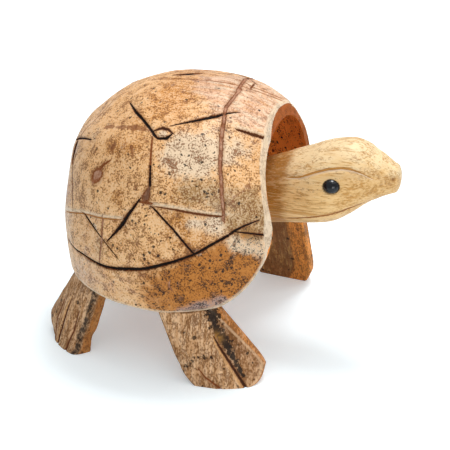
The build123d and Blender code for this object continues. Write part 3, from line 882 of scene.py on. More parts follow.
def head_piece(settings, material):
    """The head and neck as rows from the nose to the neck's end, then in along the slug's bore.

    Each row is an ellipse about the centre line, on a plane that leans with the neck towards its end. Carving
    moves the surface along the row's own radius.
    """
    reach, lift, half_height, half_width = head_rows()
    angle = round_angles(HEAD_COLUMNS)
    from_crown = np.degrees(np.minimum(angle, TURN - angle))
    reaches, crowns = np.meshgrid(reach, from_crown, indexing="ij")
    relief, pits, marks = head_carving(reaches, crowns, half_height, settings)

    tilt = NECK_TILT * smooth(reach, NECK_BEND, NECK_END)
    up = np.stack([-np.sin(tilt), np.zeros_like(tilt), np.cos(tilt)], axis=-1)
    centre = np.stack([AXIS_X + reach, np.zeros_like(reach), NECK_Z + lift], axis=-1)
    right = np.array([0.0, -1.0, 0.0])
    rise = np.cos(angle)[None, :, None] * up[:, None, :]
    spread = np.sin(angle)[None, :, None] * right
    outward = rise * half_height[:, None, None] + spread * half_width[:, None, None]
    unit = outward / np.linalg.norm(outward, axis=-1, keepdims=True)
    surface = centre[:, None, :] + outward
    grain = lattice_noise(surface * GRAIN_STRETCH, *GRAIN)
    sockets = np.zeros_like(reaches)
    for middle in BEAD_CENTRES.values():
        gap = np.linalg.norm((surface - middle)[..., [0, 2]] / BEAD_FORM, axis=-1)
        on_side = np.sign(surface[..., 1]) == np.sign(middle[1])
        sockets += on_side * smooth(gap / BEAD_RADIUS, *SOCKET_RING)
    relief += GRAIN_HEIGHT * grain - settings.socket_depth / MM * sockets
    surface = surface + unit * (relief * np.minimum(1, half_height / RELIEF_GIRTH)[:, None])[..., None]

    end, end_up = centre[-1], up[-1]
    run = np.array([np.cos(tilt[-1]), 0, np.sin(tilt[-1])])
    hoop = np.cos(angle)[:, None] * end_up + np.sin(angle)[:, None] * right
    bore = np.stack([end - run * BORE_EDGE + hoop * BORE_MOUTH, end - run * BORE_EDGE + hoop * SLUG_RADIUS,
                     end + hoop * SLUG_RADIUS + run * SLUG_SHOW])
    grid = np.concatenate([surface, bore])
    nose = np.array([AXIS_X + NOSE_REACH, 0, NECK_Z + lift[0]])

    def whole(values):
        """An attribute of the surface, carried on along the bore."""
        values = values.reshape(HEAD_ROWS, HEAD_COLUMNS, -1)
        return np.concatenate([values, np.repeat(values[-1:], len(bore), axis=0)])

    found = {
        **marks.attributes(),
        # How far each point faces up, for the painted light on the top of the head
        "crown": np.cos(np.radians(crowns)),
        "stain": smooth(reaches, *NECK_STAIN_AND_SHADE),
        "gold": smooth(reaches, *GOLD_REACH) * smooth(crowns, *GOLD_SIDES),
        # Where each bead sits, for the painted shade round it
        "socket": sockets,
        # Depth of the pits, for the painted shade in them
        "pits": pits,
    }
    attributes = {title: whole(values) for title, values in found.items()}
    return closed_piece("carved_head", "head", "head", material, grid, nose,
                        end + run * SLUG_SHOW, attributes)


def bead_piece(side, material):
    """A bead about an axis across the head: a slightly flattened ball, with a stem on its inner side."""
    centre = BEAD_CENTRES[side]
    outward = np.array([0.0, np.sign(centre[1]), 0.0])
    bend = np.linspace(0, np.pi, BEAD_ROWS + 1)[1:-1]
    radius = BEAD_RADIUS * np.maximum(np.sin(bend), smooth(bend, *STEM_BEND) * STEM_RADIUS)
    depth = BEAD_RADIUS * np.cos(bend)
    turn = round_angles(BEAD_COLUMNS)
    first, second = np.array([1.0, 0, 0]), np.cross(outward, [1.0, 0, 0])
    hoop = np.cos(turn)[:, None] * first * BEAD_FORM[0] + np.sin(turn)[:, None] * second * BEAD_FORM[1]
    grid = centre + depth[:, None, None] * outward + radius[:, None, None] * hoop
    pole = BEAD_RADIUS * outward
    return closed_piece(f"bead_{side}", "head", f"eye_{side}", material, grid, centre + pole,
                        centre - pole, {})


# Legs: how each stands, and its carving by distance ahead of the seat and height along the slab

SEAT_RADIUS = 41.0
ANKLE_LEVEL, SOLE_LEVEL = -16.5, -24.1
TOE_RISE = 4.5
CORNER_RADIUS = 0.9
LEG_ROWS = 110
FACE_COLUMNS, EDGE_COLUMNS, CORNER_COLUMNS = 78, 24, 4

# How far the inner face fills its hollow at the foot, and what stops the narrowing short at the sole
FOOT_FILL = 1.5
SOLE_SPARE, FULLEST_DRAW = 0.6, 0.99

# Shares of the way from the middle of the slab to a face between which the face begins
FACE = (0.3, 0.9)

# First level of the top row, and the steps that move it to the rim
FIRST_TOP, SEATING_STEPS = 4.0, 6

# Seat and heading in degrees, how far the ankle and the sole lie ahead of the seat, the widths at the seat
# and the ankle, and how far the sole draws in ahead and behind
Stance = namedtuple(
    "Stance", "seat_angle heading ankle_lead sole_lead seat_width ankle_width front_draw rear_draw")
STANCES = {
    "front_right": Stance(-75.0, -71.0, 9.6, 10.8, 21.0, 28.4, 10.5, 7.0),
    "front_left": Stance(58.0, 82.0, -1.4, -1.8, 18.5, 22.0, 6.5, 5.0),
    "rear_right": Stance(-138.0, -129.0, -4.8, 0.4, 15.6, 22.0, 8.5, 6.0),
    "rear_left": Stance(138.0, 129.0, -4.8, 0.4, 15.6, 22.0, 8.5, 6.0),
}
# Cuts between the toes from the sole up, dark partly with painted shadow, with a painted highlight on the
# ridge on their rear side: distance ahead, level, width
FRONT_TOES = [
    Line(0, 0.78, 1.0, [(17.2, -25.5, 1.4), (15.4, -22.3, 1.0), (11.1, -15.3, 0.9), (8.0, -10.3, 0.7),
                        (6.5, -7.5, 0.3)]),
    Line(1, 0.45, 0.7, [(9.6, -25.5, 0.8), (7.9, -23.5, 0.7), (3.6, -20.3, 0.5), (1.5, -17.5, 0.3)]),
]
REAR_TOES = [
    Line(0, 0.75, 0.9, [(-3.6, -26.0, 1.0), (-3.7, -22.5, 0.9), (-3.7, -12.9, 0.6), (-3.2, -7.0, 0.3)]),
    Line(1, 0.70, 0.8, [(2.0, -26.0, 0.9), (1.9, -23.9, 0.8), (1.9, -15.4, 0.6), (2.0, -10.0, 0.3)]),
    Line(2, 0.50, 0.6, [(-6.6, -23.0, 0.7), (-7.9, -17.0, 0.6), (-7.4, -9.0, 0.3)]),
]
# Burnt streaks: strength, and distance ahead, level and half width along each
FRONT_BURNS = [
    (1.0, [(5.6, 3.0, 2.8), (6.4, -0.7, 2.5), (7.8, -5.4, 2.3), (10.6, -10.2, 2.1), (13.0, -15.0, 1.6),
           (15.4, -20.0, 0.8)]),
    (0.5, [(-3.5, -17.4, 2.2), (1.5, -13.8, 2.4), (5.0, -14.2, 1.6)]),
    (0.6, [(-4.5, 4.0, 1.6), (8.0, 4.0, 2.4)]),
]
REAR_BURNS = [
    (0.6, [(-6.0, 3.5, 1.5), (5.0, 3.5, 2.0)]),
    (0.5, [(-4.4, -20.0, 0.9), (-4.0, -15.0, 0.6)]),
]
# Middle of the burnt streak, ahead of which the front legs are darker, and the bevel along their front edge
SHADE_LEVELS, SHADE_LEADS = (-25.5, -15.0, -5.4, 3.0), (16.6, 11.0, 5.8, 3.4)
SHADE_SOFT, SHADE_FADE = (-0.6, 1.2), (-30.0, -8.0)
BEVEL_AT_SEAT, BEVEL_SLOPE, BEVEL_LEAST, BEVEL_DEPTH, BEVEL_SOFT = 3.4, 0.15, 0.7, 0.5, 0.2
GOLD_SPOT, GOLD_SPREAD = (7.4, -7.8), 1.8

# Bands of colour by distance from the front edge: the cut edge, the front legs' inner band, the wood beside
# their bevel, and the rear legs' corner
FRONT_EDGE, FRONT_BAND = (1.4, 0.5), (7.5, 5.5)
BESIDE_BEVEL, BESIDE_SPREAD = 0.5, (0.7, 0.3)
REAR_CORNER, CORNER_SPREAD, CORNER_FACE = 0.7, (1.4, 0.6), (0.5, 0.95)
REAR_EDGE_SHARE, BEVEL_SHARE = 0.35, 0.6

# Bark: stretch of its noise along the slab, cell and random seed, a finer share, and the fade at the ends
BARK, FINE_BARK, FINE_SHARE, BARK_FADE = (0.22, 1.3, 31), (0.3, 0.6, 32), 0.6, 1.5


def rim_over(reach, settings):
    """Height of the rim's lower face ahead of the axis: flat, then rounding up to the mouth."""
    slope = np.tan(MOUTH_LEAN)
    foot = SHELL_RADIUS - MOUTH_SETBACK + slope * settings.skirt / MM
    past = np.maximum(0, reach - (foot - slope * MOUTH_CORNER - MOUTH_CORNER / np.cos(MOUTH_LEAN)))
    return RIM_Z + MOUTH_CORNER - np.sqrt(np.maximum(0, MOUTH_CORNER**2 - past**2))


def slab_loop():
    """Once round a rounded rectangle: shares of the straight sides, across and through, and the turn.

    A point lies across * (half width - r) - r cos(turn) and through * (half thickness - r) + r sin(turn) from
    the middle, with r the corner's radius.
    """
    quarter = np.pi / 2
    bend = np.linspace(0, quarter, CORNER_COLUMNS + 2)[1:-1]
    face, edge = np.linspace(-1, 1, FACE_COLUMNS), np.linspace(1, -1, EDGE_COLUMNS)
    corner = np.ones(CORNER_COLUMNS)
    face_ones, edge_ones = np.ones(FACE_COLUMNS), np.ones(EDGE_COLUMNS)
    across = np.concatenate([-corner, face, corner, edge_ones, corner, -face, -corner, -edge_ones])
    through = np.concatenate([corner, face_ones, corner, edge, -corner, -face_ones, -corner, -edge])
    turn = np.concatenate([
        bend, quarter * face_ones, quarter + bend, 2 * quarter * edge_ones,
        2 * quarter + bend, 3 * quarter * face_ones, 3 * quarter + bend, 0 * edge_ones])
    return across, through, turn


Axes = namedtuple("Axes", "seat normal forward up ahead")
Slab = namedtuple("Slab", "forward level inset from_end to_front through outer inner")


def leg_axes(stance, lean):
    """Middle of a leg's seat and directions of its slab; ahead tells whether its loops run forwards."""
    seat_angle, heading = np.radians([stance.seat_angle, stance.heading])
    seat = np.array([AXIS_X + SEAT_RADIUS * np.cos(seat_angle), SEAT_RADIUS * np.sin(seat_angle), RIM_Z])
    outward = np.array([np.cos(heading), np.sin(heading), 0])
    normal = outward * np.cos(lean) + np.array([0, 0, np.sin(lean)])
    along = np.array([-np.sin(heading), np.cos(heading), 0])
    ahead = -1 if stance.heading > 0 else 1
    return Axes(seat, normal, ahead * along, np.cross(normal, along), ahead)


def leg_slab(stance, axes, settings, shell_settings):
    """A bowed slab from under the rim to the floor, as rounded-box loops stacked along the slab.

    Each loop is bent to a circle across the grain, except that the inner face fills out towards the foot, and
    the slab narrows to its sole by a quarter ellipse on either side. Each vertex slides along the slab until
    the top row meets the rim and the last row meets the floor.
    """
    half_thickness, bow = settings.thickness / MM / 2, settings.bow / MM
    across, through_share, turn = slab_loop()
    depth = half_thickness - through_share * (half_thickness - CORNER_RADIUS) - CORNER_RADIUS * np.sin(turn)
    through = 1 - depth / half_thickness
    inner = smooth(-through, *FACE)
    share = np.linspace(0, 1, LEG_ROWS)[:, None]
    level = np.broadcast_to(FIRST_TOP + (SOLE_LEVEL - FIRST_TOP) * share, (LEG_ROWS, len(across)))
    toe_start = ANKLE_LEVEL + TOE_RISE
    for _ in range(SEATING_STEPS):
        to_ankle = np.minimum(level / ANKLE_LEVEL, 1)
        to_sole = smooth(level, ANKLE_LEVEL, SOLE_LEVEL)
        lead = stance.ankle_lead * to_ankle + (stance.sole_lead - stance.ankle_lead) * to_sole
        width = stance.seat_width + (stance.ankle_width - stance.seat_width) * to_ankle
        narrowing = (toe_start - level) / (toe_start - SOLE_LEVEL + SOLE_SPARE)
        drawn = 1 - np.sqrt(1 - np.clip(narrowing, 0, FULLEST_DRAW) ** 2)
        half = width / 2 - drawn * np.where(axes.ahead * across > 0, stance.front_draw, stance.rear_draw)
        sideways = across * (half - CORNER_RADIUS) - CORNER_RADIUS * np.cos(turn)
        forward = lead + axes.ahead * sideways
        bent = np.sqrt(np.maximum(1, bow**2 - sideways**2)) - bow
        hollow = bent - bent.min(axis=1, keepdims=True)
        inset = bent - depth - FOOT_FILL * hollow * inner * to_sole
        place_x = axes.seat[0] + axes.forward[0] * forward + axes.up[0] * level + axes.normal[0] * inset
        rim = rim_over(place_x - AXIS_X, shell_settings)
        top = (rim - RIM_Z - inset * axes.normal[2]) / axes.up[2]
        sole = (-RIM_Z - inset * axes.normal[2]) / axes.up[2]
        level = top[:1] + (sole[-1:] - top[:1]) * share
    from_end = np.minimum(level - sole[-1:], top[:1] - level)
    to_front = width / 2 - drawn * stance.front_draw - axes.ahead * sideways
    outer, inner = (np.broadcast_to(face, level.shape) for face in (smooth(through, *FACE), inner))
    return Slab(forward, level, inset, from_end, to_front, through, outer, inner)


def leg_bands(slab, bevel, is_front):
    """Bands of colour on a slab: cut edges, pale and dark corners, the shaded part and the inner face."""
    edge = smooth(slab.to_front, *FRONT_EDGE) * (1 - slab.outer) * (1.0 if is_front else REAR_EDGE_SHARE)
    band = smooth(slab.to_front, *FRONT_BAND) * slab.inner * is_front
    on_bevel = smooth(slab.to_front, bevel + BEVEL_SOFT, bevel - BEVEL_SOFT) * slab.outer * is_front
    beside_bevel = smooth(np.abs(slab.to_front - bevel - BESIDE_BEVEL), *BESIDE_SPREAD)
    corner = smooth(np.abs(slab.to_front - REAR_CORNER), *CORNER_SPREAD) * smooth(slab.through, *CORNER_FACE)
    past_streak = slab.forward - np.interp(slab.level, SHADE_LEVELS, SHADE_LEADS)
    shade = smooth(past_streak, *SHADE_SOFT) * smooth(slab.level, *SHADE_FADE)
    return {
        "fresh": np.clip(edge + band + BEVEL_SHARE * on_bevel, 0, 1),
        "corner_pale": beside_bevel * slab.outer * is_front,
        "corner_dark": corner * (not is_front),
        "shade": shade * slab.outer * is_front,
        "inner": 1 - slab.outer,
    }


def leg_piece(name, settings, shell_settings, material):
    """A leg: its slab with toes, a bevel and bark cut square to its faces, kept in the box of the solids."""
    is_front = name.startswith("front")
    toes, burns = (FRONT_TOES, FRONT_BURNS) if is_front else (REAR_TOES, REAR_BURNS)
    axes = leg_axes(STANCES[name], settings.lean)
    slab = leg_slab(STANCES[name], axes, settings, shell_settings)
    flat = np.stack([slab.forward.ravel(), slab.level.ravel()], axis=-1)
    measure = partial(flat_stretch, flat)
    marks = Marks(len(flat), toes, measure)

    own = np.stack([slab.forward, slab.level, slab.inset], axis=-1)
    coarse, fine = (lattice_noise(own * [1, along_slab, 1], cell, seed)
                    for along_slab, cell, seed in (BARK, FINE_BARK))
    bark = (1 + coarse + FINE_SHARE * fine) / 2 * smooth(slab.from_end, 0, BARK_FADE)
    bevel = np.maximum(BEVEL_LEAST, BEVEL_AT_SEAT + BEVEL_SLOPE * slab.level)
    bevelled = np.clip(1 - slab.to_front / bevel, 0, 1) * slab.outer * is_front
    toe_cuts = marks.sunk.reshape(slab.level.shape) * slab.outer
    carved = settings.toe_depth / MM * toe_cuts + settings.bark_depth / MM * bark + BEVEL_DEPTH * bevelled
    inset = slab.inset - carved * (slab.outer - slab.inner)
    grid = (axes.seat + axes.forward * slab.forward[..., None] + axes.up * slab.level[..., None]
            + axes.normal * inset[..., None])
    grid = np.clip(grid, *(np.array(CAD_BOX) / MM))

    burn = np.max([strength * streak_strength(streak, measure) for strength, streak in burns], axis=0)
    gold = bell(np.linalg.norm(flat - GOLD_SPOT, axis=1), 0, GOLD_SPREAD) * is_front
    attributes = {
        **marks.attributes(),
        "cut_near": marks.near * slab.outer.ravel(),
        "burn": burn * slab.outer.ravel(),
        "gold": gold * slab.outer.ravel(),
        **leg_bands(slab, bevel, is_front),
        "slab": own * MM,
    }
    return closed_piece(f"carved_leg_{name}", "shell", f"leg_{name}", material, grid,
                        grid[0].mean(axis=0), grid[-1].mean(axis=0), attributes)


# Materials

class Graph:
    """Adds nodes to one shader tree and joins them. Scales of noise are per metre."""

    def __init__(self, tree):
        self.tree = tree

    def node(self, kind, inputs=None, **settings):
        """A node with its settings and inputs."""
        made = self.tree.nodes.new(kind)
        for key, value in settings.items():
            setattr(made, key, value)
        self.fill(made, inputs or {})
        return made

    def fill(self, node, inputs):
        """Set each input of a node to a value or an opaque colour, or join it to a socket."""
        for key, value in inputs.items():
            socket = node.inputs[key]
            if isinstance(value, bpy.types.NodeSocket):
                self.tree.links.new(value, socket)
            else:
                socket.default_value = (*value, 1.0) if socket.type == "RGBA" else value

    def attribute(self, name, output="Fac"):
        return self.node("ShaderNodeAttribute", attribute_name=name).outputs[output]

    def object_place(self):
        return self.node("ShaderNodeTexCoord").outputs["Object"]

    def stretch(self, place, scale):
        return self.node("ShaderNodeMapping", {"Vector": place, "Scale": scale}).outputs[0]

    def noise(self, place, scale, detail=2.0, roughness=0.5):
        return self.node("ShaderNodeTexNoise", {
            "Vector": place, "Scale": scale, "Detail": detail, "Roughness": roughness}).outputs[0]

    def math(self, operation, first, second=0.0):
        return self.node("ShaderNodeMath", {0: first, 1: second}, operation=operation).outputs[0]

    def plus(self, first, second):
        return self.math("ADD", first, second)

    def minus(self, first, second):
        return self.math("SUBTRACT", first, second)

    def times(self, first, second):
        return self.math("MULTIPLY", first, second)

    def swing(self, noise, width):
        """A noise moved to swing about zero."""
        return self.times(self.minus(noise, 0.5), width)

    def step(self, value, low, high, to_low=0.0, to_high=1.0):
        """Smoothstep of a value between two bounds."""
        return self.node("ShaderNodeMapRange", {0: value, 1: low, 2: high, 3: to_low, 4: to_high},
                         interpolation_type="SMOOTHSTEP").outputs[0]

    def blend(self, factor, first, second):
        """A colour that goes from the first to the second with the factor."""
        return self.node("ShaderNodeMix", {0: factor, 6: first, 7: second}, data_type="RGBA").outputs[2]

    def layers(self, colour, *layers):
        """Lay colours over a colour in turn, each where its mask says and at its strength."""
        for mask, strength, layer in layers:
            colour = self.blend(self.times(mask, strength), colour, layer)
        return colour

    def effect(self, name, **inputs):
        """Outputs of a shared effect, which is built when it is first used."""
        tree = bpy.data.node_groups.get(name) or EFFECTS[name](name)
        return self.node("ShaderNodeGroup", inputs, node_tree=tree).outputs


class Surface(Graph):
    """The graph of a new material."""

    def __init__(self, name):
        self.material = bpy.data.materials.new(name)
        self.material.use_nodes = True
        super().__init__(self.material.node_tree)

    def shade(self, inputs):
        """Set inputs of the surface shader, and give the material."""
        self.fill(self.tree.nodes["Principled BSDF"], inputs)
        return self.material

    def finish(self, colour, roughness, height, bump, **more):
        """Join colour, roughness and height, whose bump is in metres, and set more inputs of the shader."""
        normal = self.node("ShaderNodeBump", {"Height": height, "Distance": bump, "Strength": 1.0}).outputs[0]
        more = {title.replace("_", " "): value for title, value in more.items()}
        return self.shade({"Base Color": colour, "Roughness": roughness, "Normal": normal, **more})


# Scale of the noise that makes outlines ragged, and how far it moves the flecks, in metres
RAGGED_SCALE, FLECK_SHIFT = 1300.0, 0.0011


def effect_group(name, inputs, outputs):
    """The graph of an empty node group and its two ends; an input is a vector where it has no value."""
    tree = bpy.data.node_groups.new(name, "ShaderNodeTree")
    for title, value in inputs.items():
        kind = "NodeSocketVector" if value is None else "NodeSocketFloat"
        socket = tree.interface.new_socket(title, in_out="INPUT", socket_type=kind)
        if value is not None:
            socket.default_value = value
    for title in outputs:
        tree.interface.new_socket(title, in_out="OUTPUT", socket_type="NodeSocketFloat")
    graph = Graph(tree)
    return graph, graph.node("NodeGroupInput").outputs, graph.node("NodeGroupOutput")


def pores_group(name):
    """Pores of the wood: noise at a pitch, moved by a slower noise, is dark above a level and pale below."""
    graph, given, result = effect_group(
        name, {"Place": None, "Pitch": 1500.0, "Level": 0.55}, ["Pores", "Light", "Mottle"])
    fine = graph.noise(given["Place"], given["Pitch"], 3.0, 0.65)
    slow = graph.noise(given["Place"], graph.times(given["Pitch"], 0.16), 3.0, 0.6)
    above = graph.minus(graph.plus(fine, graph.swing(slow, 0.5)), given["Level"])
    graph.fill(result, {
        "Pores": graph.step(above, 0.0, 0.08), "Light": graph.step(above, -0.04, -0.14), "Mottle": slow})
    return graph.tree


def flecks_group(name):
    """Burnt flecks: spots at the middles of some cells of a broken pattern, each with a ragged outline."""
    graph, given, result = effect_group(
        name, {"Place": None, "Pitch": 300.0, "Share": 0.3, "Size": 0.25}, ["Flecks"])
    rough = graph.node("ShaderNodeTexNoise", {"Vector": given["Place"], "Scale": RAGGED_SCALE, "Detail": 2.0})
    shift = graph.node("ShaderNodeVectorMath", {0: rough.outputs["Color"], 1: (FLECK_SHIFT,) * 3},
                       operation="MULTIPLY").outputs[0]
    place = graph.node("ShaderNodeVectorMath", {0: given["Place"], 1: shift}, operation="ADD").outputs[0]
    cells = graph.node("ShaderNodeTexVoronoi", {"Vector": place, "Scale": given["Pitch"]}).outputs
    chance = graph.node("ShaderNodeSeparateColor", {0: cells["Color"]}).outputs
    chosen = graph.math("LESS_THAN", chance[0], given["Share"])
    radius = graph.times(given["Size"], graph.plus(graph.times(chance[1], 0.9), 0.35))
    spot = graph.step(graph.minus(radius, cells["Distance"]), 0.0, 0.06)
    graph.fill(result, {"Flecks": graph.times(spot, chosen)})
    return graph.tree


def lines_group(name):
    """Carved lines: the cut within its half width, its edges, a border beside it, and a ridge on one side
    with a painted highlight.
    """
    graph, given, result = effect_group(
        name, {"Lines": None, "Near": 0.0, "Place": None}, ["Line", "Edge", "Border", "Ridge"])
    near, sides = given["Near"], graph.node("ShaderNodeSeparateXYZ", {0: given["Lines"]}).outputs
    nearest = graph.math("ABSOLUTE", sides[0])
    for side in sides[1:]:
        nearest = graph.math("MINIMUM", nearest, graph.math("ABSOLUTE", side))
    nearest = graph.plus(nearest, graph.swing(graph.noise(given["Place"], RAGGED_SCALE), 0.9))
    ridge = graph.times(graph.step(sides[0], 0.8, 1.4), graph.step(sides[0], 4.0, 2.2))
    graph.fill(result, {
        "Line": graph.times(graph.step(nearest, 1.15, 0.8), graph.step(near, 0.35, 0.75)),
        "Edge": graph.step(nearest, 0.45, 0.8),
        "Border": graph.times(graph.step(nearest, 2.6, 0.9), near),
        "Ridge": graph.times(ridge, near),
    })
    return graph.tree


EFFECTS = {"wood_pores": pores_group, "burnt_flecks": flecks_group, "carved_lines": lines_group}


def carved_lines(wood, place):
    """The masks of a carved piece's lines."""
    return wood.effect("carved_lines", Lines=wood.attribute("cut_lines", "Vector"),
                       Near=wood.attribute("cut_near"), Place=place)


def lay_lines(wood, colour, colours, lines, shallow, middle, wear):
    """Shallow lines take a light colour, deeper ones red-brown, the deepest scorched, with rusty edges.

    Only the edges of a gouge are dark, and its middle has a colour of its own.
    """
    tone, edge = wood.attribute("cut_tone"), lines["Edge"]
    cut = wood.layers(
        shallow,
        (wood.step(tone, 0.25, 0.55), 1.0, colours.rust),
        (wood.step(tone, 0.55, 0.9), 1.0, colours.scorch),
        (edge, wood.step(wear, 0.38, 0.6, 0.25, 0.9), colours.rust),
        (wood.attribute("cut_gouge"), wood.minus(1.0, edge), middle),
    )
    return wood.blend(lines["Line"], colour, cut)


def shell_material(colours):
    """Varnished shell wood: tan with coloured patches, dense pores, flecks and scorched lines, with painted
    shade, highlight and sheen in some patches and on the edges, and painted light in the hollow.
    """
    wood = Surface("varnished_shell_wood")
    place = wood.object_place()
    drift = wood.noise(place, 75.0, 4.0, 0.6)
    blots = wood.noise(place, 300.0, 5.0, 0.65)
    streaks = wood.noise(wood.stretch(place, (0.1, 1.0, 1.0)), 700.0, 3.0, 0.6)
    pores = wood.effect("wood_pores", Place=place, Pitch=1900.0, Level=0.535)
    share = wood.step(wood.attribute("specks"), 0.0, 1.0, 0.12, 0.7)
    flecks = wood.effect("burnt_flecks", Place=place, Pitch=640.0, Share=share, Size=0.3)["Flecks"]
    stains = wood.effect("burnt_flecks", Place=place, Pitch=210.0, Share=0.3, Size=0.16)["Flecks"]
    lines = carved_lines(wood, place)
    on_pink_and_sheen, on_under_shade = wood.attribute("pink"), wood.step(wood.attribute("deep"), 0.2, 0.8)

    def ragged(name, wander=1.0, low=0.2, high=0.85):
        """An attribute with an outline that the blots and the drift break up."""
        shift = wood.plus(wood.swing(blots, 1.5 * wander), wood.swing(drift, 0.8 * wander))
        return wood.step(wood.plus(wood.attribute(name), shift), low, high)

    colour = wood.layers(
        colours.shell_tan,
        (wood.step(drift, 0.45, 0.65), 0.45, colours.shell_orange),
        (ragged("warm"), 0.8, colours.shell_orange),
        # Painted shade under the girth
        (ragged("deep"), 0.85, colours.shell_under_shade),
        # Pink wood and painted sheen
        (ragged("pink"), 0.8, colours.shell_pink),
        # Bleached wood, and in places painted highlight and sheen
        (ragged("pale"), 0.85, colours.shell_pale),
        # Dull wood, and painted shade in the pocket
        (ragged("dull"), 0.75, colours.shell_olive),
        # Painted reflection on the chamfer
        (ragged("grey", 0.4), 0.85, colours.shell_grey_reflection),
        (on_pink_and_sheen, wood.step(streaks, 0.5, 0.62, 0.0, 0.6), colours.shell_pale),
        (on_pink_and_sheen, wood.step(streaks, 0.46, 0.36, 0.0, 0.45), colours.shell_orange),
        # In the painted shade under the girth the light pores turn orange and the dark pores scorched
        (pores["Light"], 0.4, wood.blend(on_under_shade, colours.shell_pale, colours.shell_orange)),
        (pores["Pores"], wood.step(on_pink_and_sheen, 0.2, 0.9, 0.85, 0.4),
         wood.blend(on_under_shade, colours.shell_brown, colours.scorch)),
        (wood.step(blots, 0.56, 0.68), 0.5, colours.shell_brown),
        (stains, 0.55, colours.rust),
        (ragged("smear", 1.3, 0.3, 0.75), 0.7, colours.rust),
        (flecks, 0.85, colours.scorch),
        # Painted highlight on the rim, the mouth's edge and the ledges' crests
        (wood.attribute("edge"), 0.8, colours.shell_pale),
        (lines["Border"], 0.4, colours.shell_brown),
    )
    gouge = wood.blend(wood.step(blots, 0.36, 0.62, 0.1, 0.6), colours.rust, colours.shell_pink)
    colour = lay_lines(wood, colour, colours, lines, colours.shell_orange, gouge, blots)

    depth = wood.attribute("hollow")
    hollow = wood.layers(
        colours.lip_red,
        # Painted light in the hollow, which lies in shade
        (wood.step(depth, 0.5, 0.9), 1.0, colours.hollow_red_painted_light),
        (pores["Pores"], 0.75, colours.rust),
        (flecks, 1.0, colours.scorch),
    )
    inside = wood.step(depth, 0.15, 0.35)
    colour = wood.blend(inside, colour, hollow)

    bare = wood.math("MAXIMUM", lines["Line"], inside)
    roughness = wood.plus(wood.step(pores["Mottle"], 0.3, 0.7, 0.42, 0.55), wood.times(bare, 0.3))
    height = wood.minus(wood.times(pores["Mottle"], 0.6), pores["Pores"])
    return wood.finish(colour, roughness, height, 0.00014, Specular_IOR_Level=0.12, Coat_Roughness=0.25,
                       Coat_Weight=wood.times(wood.minus(1.0, bare), 0.18))


def head_material(colours):
    """Honey-coloured head wood: long fine streaks, golden cheeks, brown lines, a paler crown of painted light
    from above, and a stained neck that also has painted shade.
    """
    wood = Surface("honey_head_wood")
    place = wood.object_place()
    streaks = wood.effect("wood_pores", Place=wood.stretch(place, (0.06, 1.0, 1.0)), Pitch=2200.0, Level=0.53)
    dashes = wood.effect("wood_pores", Place=wood.stretch(place, (0.3, 1.0, 1.0)), Pitch=3000.0, Level=0.59)
    bands = wood.noise(wood.stretch(place, (0.05, 1.0, 1.0)), 420.0, 3.0, 0.6)
    lines = carved_lines(wood, place)

    def ragged(name, high):
        """An attribute with an outline that the grain breaks up."""
        return wood.step(wood.plus(wood.attribute(name), wood.swing(dashes["Mottle"], 1.4)), 0.1, high)

    colour = wood.layers(
        colours.head_honey,
        # Painted light from above makes the top of the head paler
        (ragged("crown", 0.9), 1.0, colours.head_cream),
        (ragged("gold", 1.0), 0.3, colours.head_gold),
        (wood.step(bands, 0.5, 0.7), 0.35, colours.head_gold),
        # Stained neck, with painted shade where it goes into the shell
        (ragged("stain", 0.9), 0.95, colours.head_stain_and_shade),
        (streaks["Pores"], 0.7, colours.head_gold),
        (streaks["Light"], 0.3, colours.head_cream),
        (dashes["Pores"], 0.5, colours.shell_brown),
        # Painted shade in the pits, darker the deeper they are
        (wood.attribute("pits"), 1.4, colours.shell_brown),
        # Painted highlight on the lid under the brow
        (lines["Ridge"], 0.7, colours.shell_pale),
    )
    colour = lay_lines(wood, colour, colours, lines, colours.head_gold, colours.head_gold, bands)
    # Painted shade round each bead, in its socket
    colour = wood.blend(wood.attribute("socket"), colour, colours.scorch)
    roughness = wood.step(streaks["Pores"], 0.0, 1.0, 0.45, 0.6)
    height = wood.minus(wood.times(bands, 0.5), streaks["Pores"])
    return wood.finish(colour, roughness, height, 0.00008, Specular_IOR_Level=0.3)


